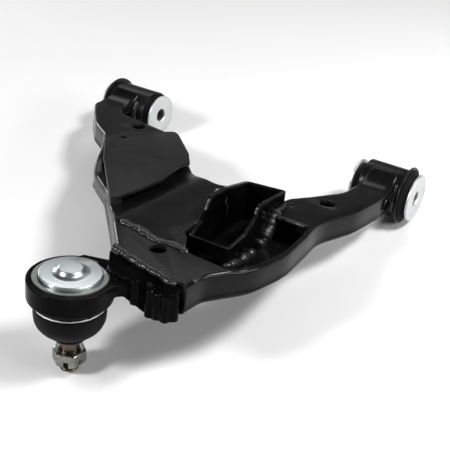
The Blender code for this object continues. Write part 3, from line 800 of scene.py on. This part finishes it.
def weld_bead(name, path, width, height, seed, up=(0, 0, 1), pitch=0.0042, lumps=0.22):
    """A weld bead along a path: a low rounded ridge with overlapping crescent ripples."""
    random.seed(seed)
    path = [Vector(point) for point in path]
    lengths = [0.0]
    for a, b in zip(path, path[1:]):
        lengths.append(lengths[-1] + (b - a).length)
    total = lengths[-1]
    rows = max(6, int(total / 0.0007))
    across_steps = 14
    shape = bmesh.new()
    rings = []
    drift = random.uniform(0, 50)
    up = Vector(up).normalized()
    for row in range(rows + 1):
        at = total * row / rows
        index = min(len(path) - 2, sum(1 for length in lengths[1:-1] if length <= at))
        span = lengths[index + 1] - lengths[index]
        tangent = (path[index + 1] - path[index]).normalized()
        if index and at - lengths[index] < 0.004:
            earlier = (path[index] - path[index - 1]).normalized()
            tangent = earlier.lerp(tangent, 0.5 + (at - lengths[index]) / 0.008).normalized()
        centre = path[index].lerp(path[index + 1], (at - lengths[index]) / span)
        side = tangent.cross(up).normalized()
        lift = side.cross(tangent).normalized()
        ends = math.sqrt(max(0.0, 1 - (1 - min(1.0, min(at, total - at) / (width * 0.5))) ** 2))
        phase = (at / pitch) % 1.0
        swell = 1 + 0.13 * (phase**0.6 - 0.5) + lumps * noise.noise(Vector((at * 120, drift, seed)))
        sway = 0.14 * width * noise.noise(Vector((at * 90, drift + 9, seed)))
        ring = []
        for step in range(across_steps):
            turn = math.tau * step / across_steps
            wide = 0.5 * width * max(0.08, ends) * swell * math.cos(turn)
            tall = height * max(0.08, ends) * swell * math.sin(turn)
            trail = -0.0011 * (1 - abs(math.cos(turn)))
            rough = 0.00016 * noise.noise(Vector((at * 380, math.cos(turn) * 2, drift + math.sin(turn) * 2)))
            point = centre + side * (wide + sway) + lift * (tall + rough) + tangent * trail
            ring.append(shape.verts.new(point))
        rings.append(ring)
    item = to_object(name, lofted(shape, rings), 70)
    place(item, "arm", "arm_paint", material="weld_paint")


ARM_WELDS = {
    "weld_outer_rear": (
        {"width": 0.0085, "height": 0.0026, "seed": 3, "lumps": 0.50},
        (0.3046, 0.0400, 0.0128),
        (0.3042, 0.0610, 0.0124),
        (0.3095, 0.0800, 0.0124),
        (0.3117, 0.0907, 0.0126),
    ),
    "weld_outer_middle": (
        {"width": 0.0078, "height": 0.0026, "seed": 4, "lumps": 0.60},
        (0.3120, 0.0890, 0.0130),
        (0.3073, 0.1030, 0.0124),
        (0.3080, 0.1166, 0.0122),
        (0.3120, 0.1200, 0.0112),
    ),
    "weld_outer_front": (
        {"width": 0.0074, "height": 0.0030, "seed": 5, "lumps": 0.45},
        (0.3450, 0.0655, 0.0112),
        (0.3500, 0.0900, 0.0112),
        (0.3545, 0.1200, 0.0108),
        (0.3575, 0.1450, 0.0100),
    ),
    "weld_outer_side": (
        {"width": 0.0045, "height": 0.0020, "seed": 6},
        (0.3480, 0.1535, 0.0118),
        (0.3330, 0.1545, 0.0120),
        (0.3180, 0.1610, 0.0110),
    ),
    "pocket_rolled_edge": (
        {"width": 0.0046, "height": 0.0023, "seed": 30, "pitch": 0.02, "lumps": 0.04},
        (0.1868, 0.1425, 0.0122),
        (0.1852, 0.1600, 0.0122),
        (0.1850, 0.1740, 0.0122),
    ),
}
OUT = BRACKET_HALF + 0.0015
BRACKET_WELDS = {
    "weld_bracket_back": (
        {"width": 0.0064, "height": 0.0034, "seed": 8, "up": (0, 0.5, 1), "lumps": 0.35},
        (0.0020, OUT, 0.0150),
        (0.0240, OUT, 0.0150),
    ),
    "weld_bracket_side": (
        {"width": 0.0130, "height": 0.0046, "seed": 9, "up": (0.1, 1, 0.5), "pitch": 0.0055, "lumps": 0.75},
        (0.0200, OUT, 0.0150),
        (0.0280, OUT, 0.0100),
        (0.0340, OUT, 0.0000),
        (0.0420, OUT, -0.0090),
        (0.0560, OUT, -0.0125),
    ),
    "weld_bracket_tip": (
        {"width": 0.0092, "height": 0.0038, "seed": 10, "up": (0.5, 0.8, 0.5), "pitch": 0.0055, "lumps": 0.65},
        (0.0660, 0.0250, -0.0122),
        (0.0980, 0.0255, -0.0100),
        (0.1130, 0.0245, -0.0070),
        (0.1195, 0.0190, -0.0080),
    ),
    "weld_bracket_inner": (
        {"width": 0.0042, "height": 0.0018, "seed": 12, "lumps": 0.3},
        (0.0040, -OUT, 0.0142),
        (0.0500, -OUT, 0.0142),
        (0.1000, -OUT, 0.0138),
    ),
}


def build_welds():
    for name, (bead, *path) in ARM_WELDS.items():
        weld_bead(name, path, **bead)
    for name, (bead, *path) in BRACKET_WELDS.items():
        weld_bead(name, [BRACKET @ Vector(point) for point in path], **bead)


# ---------------------------------------------------------------- bracket

REAR_RIM = (
    (0.0030, 0.0285),
    (0.0547, 0.0383),
    (0.0790, 0.0394),
    (0.0830, 0.0376),
    (0.0890, 0.0260),
    (0.0960, 0.0190),
    (0.1124, 0.0106),
    (0.1200, 0.0100),
)
FRONT_RIM = (
    (0.0000, 0.0285),
    (0.0500, 0.0334),
    (0.0512, 0.0318),
    (0.0530, 0.0318),
    (0.0545, 0.0337),
    (0.0595, 0.0340),
    (0.0640, 0.0248),
    (0.0720, 0.0190),
    (0.0855, 0.0124),
    (0.1124, 0.0100),
)


def height_along(rows, x):
    for (x0, z0), (x1, z1) in zip(rows, rows[1:]):
        if x <= x1:
            return z0 + (z1 - z0) * max(0.0, x - x0) / (x1 - x0)
    return rows[-1][1]


def bracket_top(x, y):
    """Height of the bracket's rim: each side plate has its own outline, and the ends join them."""
    share = min(1.0, max(0.0, 0.5 + 0.5 * y / BRACKET_HALF))
    return height_along(REAR_RIM, x) * (1 - share) + height_along(FRONT_RIM, x) * share


def build_bracket():
    """The shock absorber's bracket: one folded wall with a rim of varying height and a bolt hole."""
    half, sheet, length = BRACKET_HALF, 0.004, 0.1167
    foot = FLOOR_Z + SHEET + 0.0003
    corners = [(0.003, -half, 0.006), (length, -half, 0.0045), (length, half, 0.0045), (-0.003, half, 0.006)]
    outer, inner = ring_family(corners, (0.0, sheet), 0.0014)
    shape = bmesh.new()
    rings = []
    shares = (0, 0.3, 0.6, 0.94, 1)
    for ring, order in ((outer, shares), (inner, reversed(shares))):
        for share in order:
            row = []
            for point, base in zip(ring, outer):
                z = foot + (bracket_top(base.x, base.y) - foot) * share
                row.append(shape.verts.new((point.x, point.y, z)))
            rings.append(row)
    for k in range(len(rings)):
        bridge(shape, rings[k], rings[(k + 1) % len(rings)])
    face_out(shape)
    item = to_object("shock_bracket_folded", shape)
    drill = turned([(0, -0.06), (0.0061, -0.06), (0.0061, 0.06), (0, 0.06)], 40)
    drill.transform(about_y(0.0480, 0, 0.0228))
    cut(item, to_object("cutter", drill))
    rounded_edges(item, 0.0010, 3, 50)
    names = [f"shock_bracket_{part}_plate" for part in ("rear", "front", "back", "lip")]
    place(item, "arm", "bracket_paint", names, BRACKET)


# ---------------------------------------------------------------- bushes

BUSHES = {
    "front": {"side": 1, "rim": (0.0236, 0.0262), "end": 0.0340, "washers": (0.0256, 0.0273)},
    "rear": {"side": -1, "rim": (0.0368, 0.0396), "end": 0.0440, "washers": (0.0262, 0.0273)},
}
CORE_END = 0.0340
CORE_RADIUS = 0.0125
BOLT_RADIUS = 0.00815
WASHER = 0.0027


def washer_shape(radius, z, direction):
    far = z + direction * WASHER
    profile = [
        (BOLT_RADIUS, z),
        (radius, z),
        (radius, far),
        (BOLT_RADIUS + 0.0014, far),
        (BOLT_RADIUS, far - direction * 0.0014),
    ]
    return turned(softened(profile, 0.0005, 3), 120)


def core_shape(end):
    """The inner sleeve, with serrated end faces."""
    profile = [(BOLT_RADIUS, -CORE_END), (CORE_RADIUS, -CORE_END), (CORE_RADIUS, end), (BOLT_RADIUS, end)]
    shape = turned(softened(profile, 0.0006, 2), 120)
    for vert in shape.verts:
        if abs(vert.co.z - end) < 1e-5 or abs(vert.co.z + CORE_END) < 1e-5:
            turn = math.atan2(vert.co.y, vert.co.x)
            vert.co.z -= math.copysign(0.00025 * (0.5 + 0.5 * math.cos(turn * 30)), vert.co.z)
    return shape


def rubber_profile(rim_high, end):
    """The bush rubber: a necked inner end, and a lip and a collar outside the sleeve's rim."""
    return [
        (CORE_RADIUS + 0.0003, 0.0006 - CORE_END),
        (0.0215, 0.0006 - CORE_END),
        (0.0226, 0.0020 - CORE_END),
        (0.0212, -0.0290),
        (0.0224, -0.0276),
        (0.0224, rim_high + 0.0003),
        (0.0306, rim_high + 0.0003),
        (0.0309, rim_high + 0.0012),
        (0.0282, rim_high + 0.0024),
        (0.0258, rim_high + 0.0040),
        (0.0246, end - 0.0018),
        (0.0250, end - 0.0006),
        (CORE_RADIUS + 0.0003, end - 0.0006),
    ]


def build_bush(name):
    """One pivot: eye tube, outer sleeve and rubber on the arm, inner sleeve and discs on the pivot."""
    bush = BUSHES[name]
    side = bush["side"]
    axis = about_y(0, side * HALF_SPACING, 0, side)
    rim_low, rim_high = bush["rim"]
    end = bush["end"]
    pivot = f"{name}_pivot"
    tube_end = rim_low - 0.0003
    tube = [(0.0250, -0.0260), (TUBE_RADIUS, -0.0260), (TUBE_RADIUS, tube_end), (0.0250, tube_end)]
    sleeve = [
        (0.0228, -0.0275),
        (0.0247, -0.0275),
        (0.0247, rim_low - 0.0002),
        (0.0333, rim_low),
        (0.0333, rim_high),
        (0.0228, rim_high),
    ]
    moulded = softened(rubber_profile(rim_high, end), 0.0012, 4)
    inboard, outboard = bush["washers"]
    solids = (
        ("tube_welded", "arm", "eye_tube_paint", "eye_tube", turned(softened(tube, 0.0009), 128)),
        ("sleeve_flanged", "arm", "sleeve_paint", "outer_sleeve", turned(softened(sleeve, 0.0008), 128)),
        ("rubber_moulded", "arm", "bush_rubber", "bush_rubber", turned(moulded, 128)),
        ("core_serrated", pivot, "sleeve_steel", "inner_sleeve", core_shape(end)),
        ("washer_inboard", pivot, "zinc", "inboard_washer", washer_shape(inboard, -CORE_END - 0.0003, -1)),
        ("washer_outboard", pivot, "zinc", "outboard_washer", washer_shape(outboard, end + 0.0003, 1)),
    )
    for part, body, slot, node, shape in solids:
        item = to_object(f"{name}_{part}", shape, 60 if slot == "bush_rubber" else 40)
        place(item, body, slot, [f"{name}_{node}"], axis)


def tube_weld(name, y, seed):
    """A bead round the eye tube, on the side towards the arm; the angles are from the top."""
    start, end, steps = 52, 118, 14
    angles = [math.radians(start + (end - start) * step / steps) for step in range(steps + 1)]
    radius = TUBE_RADIUS + 0.0006
    path = [(radius * math.sin(a), y, radius * math.cos(a)) for a in angles]
    weld_bead(name, path, 0.0060, 0.0026, seed, up=(0.8, 0, 0.6), lumps=0.5)


# ---------------------------------------------------------------- ball joint


def joined(*shapes):
    """Several shapes as one mesh."""
    result = bmesh.new()
    for shape in shapes:
        mesh = bpy.data.meshes.new("part")
        shape.to_mesh(mesh)
        shape.free()
        result.from_mesh(mesh)
        bpy.data.meshes.remove(mesh)
    return result


def moved(shape, x=0.0, y=0.0, z=0.0):
    shape.transform(Matrix.Translation((x, y, z)))
    return shape


def root_top(x, y):
    """Height of the forging's root: it falls away from the arm's end."""
    start, along = Vector((0.3478, 0.0645)), Vector((0.0105, 0.0873)).normalized()
    away = (Vector((x, y)) - start).dot(Vector((along.y, -along.x)))
    return 0.0098 - 0.62 * max(0.0, away)


def subdivided(points, parts=6):
    """A closed outline with each side split into equal parts."""
    corners = [Vector(point) for point in points]
    result = []
    for index, corner in enumerate(corners):
        following = corners[(index + 1) % len(corners)]
        result += [corner.lerp(following, part / parts) for part in range(parts)]
    return result


ROOT_BOTTOM = (
    (0.0860, -0.0160),
    (0.0960, -0.0178),
    (0.1070, -0.0225),
    (0.1160, -0.0244),
    (0.1340, -0.0244),
    (0.1520, -0.0215),
)


def root_bottom(x, y):
    return height_along(ROOT_BOTTOM, y)


def neck_bottom(x, y):
    return -0.0281 + 0.0105 * ease((0.4010 - x) / 0.0290)


def build_forging():
    """The ball joint's forged eye with its neck, its ribbed root on the arm's end and its stepped bore."""
    eye = [
        (0, -0.0350),
        (0.0280, -0.0350),
        (0.0280, -0.0285),
        (0.0345, -0.0285),
        (0.0382, -0.0245),
        (0.0382, -0.0060),
        (0, -0.0060),
    ]
    root = [
        (0.3484, 0.0650),
        (0.3640, 0.0765),
        (0.3665, 0.0960),
        (0.3650, 0.1120),
        (0.3705, 0.1340),
        (0.3655, 0.1490),
        (0.3588, 0.1514),
    ]
    neck = [
        (0.3484, 0.0650),
        (0.3400, 0.0625),
        (0.3500, 0.0360),
        (0.3700, 0.0330),
        (0.4021, 0.0910),
        (0.3720, 0.0940),
        (0.3650, 0.1000),
    ]
    ribs = (
        (0.3650, 0.1070, 0.0030, 0.0035),
        (0.3690, 0.1270, 0.0036, 0.0045),
        (0.3668, 0.1425, 0.0044, 0.0040),
        (0.3622, 0.1490, 0.0034, 0.0055),
    )
    blocks = [
        moved(turned(eye, 96), *BALL),
        sloped_prism(subdivided(root), root_bottom, root_top),
        sloped_prism(rounded([(x, y, 0.0008) for x, y in neck], 4), neck_bottom, lambda x, y: -0.0064),
    ]
    for x, y, radius, top in ribs:
        foot = root_bottom(x, y) + 0.0006
        blocks.append(moved(turned([(0, foot), (radius, foot), (radius, top - 0.003), (0, top)], 24), x, y))
    knob = bmesh.new()
    bmesh.ops.create_icosphere(knob, subdivisions=3, radius=0.0036)
    blocks.append(moved(knob, 0.3672, 0.1255, 0.0050))
    item = to_object("ball_joint_forged_eye", joined(*blocks))
    modify(item, "REMESH", mode="VOXEL", voxel_size=0.0008)
    modify(item, "SMOOTH", factor=0.5, iterations=9)
    bake(item)
    bore = [
        (0, -0.0370),
        (0.0237, -0.0370),
        (0.0185, -0.0254),
        (0.0225, -0.0254),
        (0.0225, -0.0092),
        (0.0335, -0.0092),
        (0.0335, 0.0200),
        (0, 0.0200),
    ]
    cut(item, to_object("cutter", moved(turned(bore, 128), *BALL)))
    place(item, "arm", "forging_paint", ["ball_joint_forging"])


def build_cap():
    """The pressed cap over the ball, and the open ring that holds it in the eye."""
    cap = [
        (0, 0.0016),
        (0.0092, 0.0016),
        (0.0112, -0.0024),
        (0.0150, -0.0034),
        (0.0256, -0.0034),
        (0.0256, -0.0089),
        (0.0331, -0.0089),
        (0.0331, -0.0071),
        (0.0276, -0.0071),
        (0.0276, -0.0014),
        (0.0168, -0.0014),
        (0.0126, 0.0002),
        (0.0110, 0.0031),
        (0.0100, 0.0036),
        (0, 0.0036),
    ]
    shape = turned(softened(cap, 0.0012, 4, closed=False), 128)
    item = to_object("ball_joint_cap_pressed", moved(shape, *BALL))
    place(item, "arm", "cap_zinc", ["ball_joint_cap"])
    inner, outer, low, high = 0.0281, 0.0330, -0.0068, -0.0046
    start, sweep = math.radians(174), math.radians(326)
    shape = bmesh.new()
    sections = []
    section = softened([(inner, low), (outer, low), (outer, high), (inner, high)], 0.0004, 2)
    steps = 140
    for step in range(steps + 1):
        turn = start + sweep * step / steps
        near_end = min(step, steps - step) / steps * sweep * 0.0305
        shrink = math.sqrt(max(0.0, 1 - (1 - min(1.0, near_end / 0.0022)) ** 2)) * 0.96 + 0.04
        middle = (inner + outer) / 2
        ring = [(middle + (r - middle) * shrink, z) for r, z in section]
        sections.append([shape.verts.new((r * math.cos(turn), r * math.sin(turn), z)) for r, z in ring])
    for before, after in zip(sections, sections[1:]):
        bridge(shape, before, after)
    shape.faces.new(sections[0])
    shape.faces.new(reversed(sections[-1]))
    face_out(shape)
    item = to_object("retaining_ring_wire", moved(shape, *BALL))
    place(item, "arm", "cap_zinc", ["retaining_ring"], material="ring_zinc")


def threaded(radius, z_low, z_high, pitch, depth, segments=48):
    """An open threaded surface about Z, with its lowest and highest rings."""
    shape = bmesh.new()
    rows = int((z_high - z_low) / (pitch / 8))
    rings = []
    for row in range(rows + 1):
        z = z_low + (z_high - z_low) * row / rows
        ring = []
        for step in range(segments):
            turn = math.tau * step / segments
            phase = (z / pitch - step / segments) % 1.0
            groove = depth * max(0.0, 1 - abs(phase - 0.5) / 0.42)
            fade = min(1.0, (z - z_low) / pitch, (z_high - z) / pitch)
            r = radius - groove * max(0.0, fade)
            ring.append(shape.verts.new((r * math.cos(turn), r * math.sin(turn), z)))
        rings.append(ring)
    for lower, upper in zip(rings, rings[1:]):
        bridge(shape, lower, upper)
    return shape, rings[0], rings[-1]


STUD_TIP = (
    (0.0086, -0.1008),
    (0.0077, -0.1016),
    (0.0060, -0.1024),
    (0.0038, -0.1028),
    (0.0016, -0.1030),
    (0, -0.1030),
)
STUD_TAPER = (
    (0.0089, -0.0780),
    (0.0091, -0.0700),
    (0.0094, -0.0640),
    (0.0096, -0.0560),
    (0.0096, -0.0400),
    (0.0092, -0.0360),
    (0.0086, -0.0340),
)


def build_stud():
    """The ball stud, from its rounded tip up through the thread and the taper to the ball."""
    shape, low_ring, high_ring = threaded(0.0089, -0.1000, -0.0790, 0.0015, 0.0008)
    segments = len(low_ring)

    def carry(ring, profile):
        """Goes on from a ring along a profile that ends on the axis."""
        for r, z in profile[:-1]:
            following = circle_verts(shape, r, z, segments)
            bridge(shape, ring, following)
            ring = following
        tip = shape.verts.new((0, 0, profile[-1][1]))
        for k in range(segments):
            shape.faces.new((ring[k], ring[(k + 1) % segments], tip))

    carry(low_ring, STUD_TIP)
    angles = [math.radians(-52 + 142 * step / 28) for step in range(29)]
    ball = [(0.0140 * math.cos(a), BALL_Z + 0.0140 * math.sin(a)) for a in angles]
    ball[-1] = (0, ball[-1][1])
    carry(high_ring, [*STUD_TAPER, *ball])
    face_out(shape)
    item = to_object("ball_stud_threaded", moved(shape, *BALL))
    hole = turned([(0, -0.02), (0.0020, -0.02), (0.0020, 0.02), (0, 0.02)], 24)
    hole.transform(about_y(*BALL, -0.0920))
    cut(item, to_object("cutter", hole))
    place(item, "stud", "stud_steel", ["ball_stud"])


NUT_STEPS = (0, 3, 6, 10, 15, 21, 39, 45, 50, 54, 57)
SLOT_STEP = NUT_STEPS.index(21)
SLOT_ROW = 4


def build_nut():
    """A hexagon nut, chamfered at both ends, with a slot for a locking pin at the bottom of each flat."""
    top, slot_top, bottom, flats, bore = -0.0800, -0.0877, -0.0950, 0.027, 0.0092
    turns = [math.radians(60 * side + step) for side in range(6) for step in NUT_STEPS]
    shape = bmesh.new()

    def ring(z, radius=None):
        verts = []
        for index, turn in enumerate(turns):
            if radius is None:
                hexagon = flats / 2 / math.cos(turn % (math.pi / 3) - math.pi / 6)
                r = min(hexagon, 0.0130 + 1.7 * (top - z), 0.0118 + 1.15 * (z - bottom))
            else:
                r = radius
                widening = {SLOT_STEP: -4.2, SLOT_STEP + 1: 4.2}
                turn += math.radians(widening.get(index % len(NUT_STEPS), 0))
            verts.append(shape.verts.new((r * math.cos(turn), r * math.sin(turn), z)))
        return verts

    heights = [top, top - 0.0004, top - 0.0008, top - 0.0014, slot_top]
    heights += [bottom + rise for rise in (0.0036, 0.0029, 0.0022, 0.0015, 0.0007, 0.0)]
    outer = [ring(z) for z in heights]
    inner = [ring(bottom, bore), ring(slot_top, bore), ring(top, bore)]
    cycle = outer + inner
    for level, before in enumerate(cycle):
        after = cycle[(level + 1) % len(cycle)]
        for index in range(len(turns)):
            following = (index + 1) % len(turns)
            if index % len(NUT_STEPS) == SLOT_STEP and SLOT_ROW <= level <= len(outer):
                continue
            shape.faces.new((before[index], before[following], after[following], after[index]))
    for index in range(SLOT_STEP, len(turns), len(NUT_STEPS)):
        roof = outer[SLOT_ROW]
        shape.faces.new((roof[index], roof[index + 1], inner[1][index + 1], inner[1][index]))
        for side in (index, index + 1):
            shape.faces.new([row[side] for row in outer[SLOT_ROW:]] + [inner[0][side], inner[1][side]])
    face_out(shape)
    item = to_object("castle_nut_slotted", moved(shape, *BALL), 28)
    rounded_edges(item, 0.00025, 2, 28)
    place(item, "stud", "nut_zinc", ["castle_nut"])


BOOT = (
    (0.0288, -0.0298),
    (0.0318, -0.0298),
    (0.0319, -0.0304),
    (0.0306, -0.0313),
    (0.0306, -0.0329),
    (0.0319, -0.0337),
    (0.0323, -0.0360),
    (0.0323, -0.0400),
    (0.0321, -0.0440),
    (0.0314, -0.0480),
    (0.0300, -0.0514),
    (0.0279, -0.0545),
    (0.0252, -0.0572),
    (0.0222, -0.0594),
    (0.0192, -0.0610),
    (0.0172, -0.0622),
    (0.0166, -0.0632),
    (0.0170, -0.0642),
    (0.0166, -0.0656),
    (0.0152, -0.0670),
    (0.0120, -0.0671),
    (0.0119, -0.0650),
    (0.0124, -0.0626),
    (0.0180, -0.0592),
    (0.0228, -0.0562),
    (0.0266, -0.0520),
    (0.0288, -0.0480),
    (0.0298, -0.0440),
    (0.0299, -0.0400),
    (0.0289, -0.0366),
    (0.0287, -0.0330),
)


def build_boot():
    """The rubber boot between the eye and the stud."""
    item = to_object("boot_moulded", moved(turned(softened(BOOT, 0.0012, 3), 112), *BALL), 70)
    place(item, None, "boot_rubber", ["boot"])
    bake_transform(item)


# ---------------------------------------------------------------- carried-over solids


CARRIED_OVER = {
    "upper_ball_seat": "seat_nylon",
    "lower_ball_seat": "seat_nylon",
    "preload_spring": "bare_steel",
    "shock_weld_nut": "bare_steel",
    "boot_mouth_ring": "bare_steel",
    "boot_upper_ring": "zinc",
}


def refinish(name, material):
    """Gives a solid that is shown as it is a better material and smooth shading."""
    item = bpy.data.objects[name]
    item.data.materials.clear()
    item.data.materials.append(MATERIALS[material])
    smooth(item.data, 35)


# ---------------------------------------------------------------- studio


def area_light(name, location, target, size, energy):
    light = bpy.data.lights.new(name, "AREA")
    light.shape = "RECTANGLE"
    light.size, light.size_y = size
    light.energy = energy
    item = bpy.data.objects.new(name, light)
    item.location = location
    aim = Vector(target) - Vector(location)
    item.rotation_euler = aim.to_track_quat("-Z", "Y").to_euler()
    bpy.context.scene.collection.objects.link(item)


def build_studio():
    """A pale floor, a dim surround that darkens upwards, and five soft lights."""
    n = Nodes("studio_floor")
    cloud = n.noise(3, 3, 0.5)
    n.surface("Base Color", n.ramp(cloud, ((0.3, (0.80,) * 3), (0.7, (0.82,) * 3))))
    n.surface("Roughness", n.remap(cloud, 0.85, 0.95))
    n.surface("Specular IOR Level", 0.2)
    shape = bmesh.new()
    corners = ((-6, -6), (6, -6), (6, 6), (-6, 6))
    shape.faces.new([shape.verts.new((x, y, -0.0005)) for x, y in corners])
    floor = to_object("studio_floor", shape)
    floor.data.materials.append(n.material)
    world = bpy.data.worlds.new("studio")
    bpy.context.scene.world = world
    world.use_nodes = True
    tree = world.node_tree
    place_node = tree.nodes.new("ShaderNodeTexCoord")
    split = tree.nodes.new("ShaderNodeSeparateXYZ")
    ramp = tree.nodes.new("ShaderNodeValToRGB")
    tree.links.new(place_node.outputs["Generated"], split.inputs["Vector"])
    tree.links.new(split.outputs["Z"], ramp.inputs["Fac"])
    ramp.color_ramp.elements[0].position = 0.0
    ramp.color_ramp.elements[0].color = (0.20, 0.20, 0.20, 1)
    ramp.color_ramp.elements[1].position = 0.9
    ramp.color_ramp.elements[1].color = (0.05, 0.05, 0.05, 1)
    background = tree.nodes["Background"]
    tree.links.new(ramp.outputs["Color"], background.inputs["Color"])
    background.inputs["Strength"].default_value = 1.0
    area_light("key_left", (1.35, -0.70, 1.30), (0.1, 0, 0.05), (0.35, 0.35), 26)
    area_light("key_right", (-0.35, 0.95, 1.35), (0.1, 0, 0.05), (0.40, 0.30), 22)
    area_light("back_fill", (-1.45, -1.05, 1.50), (0, 0, 0.05), (1.4, 0.6), 8)
    area_light("side_right", (-0.3, 1.5, 0.7), (0, 0, 0.05), (0.9, 0.3), 12)
    area_light("side_left", (-0.45, -1.60, 0.34), (0, 0, 0.05), (0.55, 0.40), 6)


def build_camera():
    """The camera, placed in the arm's frame."""
    bpy.context.scene.view_settings.view_transform = "Standard"
    right = Vector((-0.5502, 0.8285, 0.1044)).normalized()
    back = Vector((0.7724, 0.4573, 0.4407)).normalized()
    up = back.cross(right).normalized()
    camera = bpy.data.objects.new("camera", bpy.data.cameras.new("camera"))
    camera.data.lens = 61.45
    camera.data.sensor_width = 36
    camera.data.clip_start = 0.01
    axes = Matrix((right, up, back)).transposed().to_4x4()
    camera.matrix_world = ARM @ Matrix.Translation((0.8091, 0.4521, 0.3375)) @ axes
    bpy.context.scene.collection.objects.link(camera)
    bpy.context.scene.camera = camera


build_camera()
build_shells()
build_plates()
build_welds()
build_bracket()
for bush_name in BUSHES:
    build_bush(bush_name)
tube_weld("weld_front_tube", 0.2040, 21)
tube_weld("weld_rear_tube", -0.1715, 22)
build_forging()
build_cap()
build_stud()
build_nut()
build_boot()
for node, finish in CARRIED_OVER.items():
    refinish(node, finish)
build_studio()
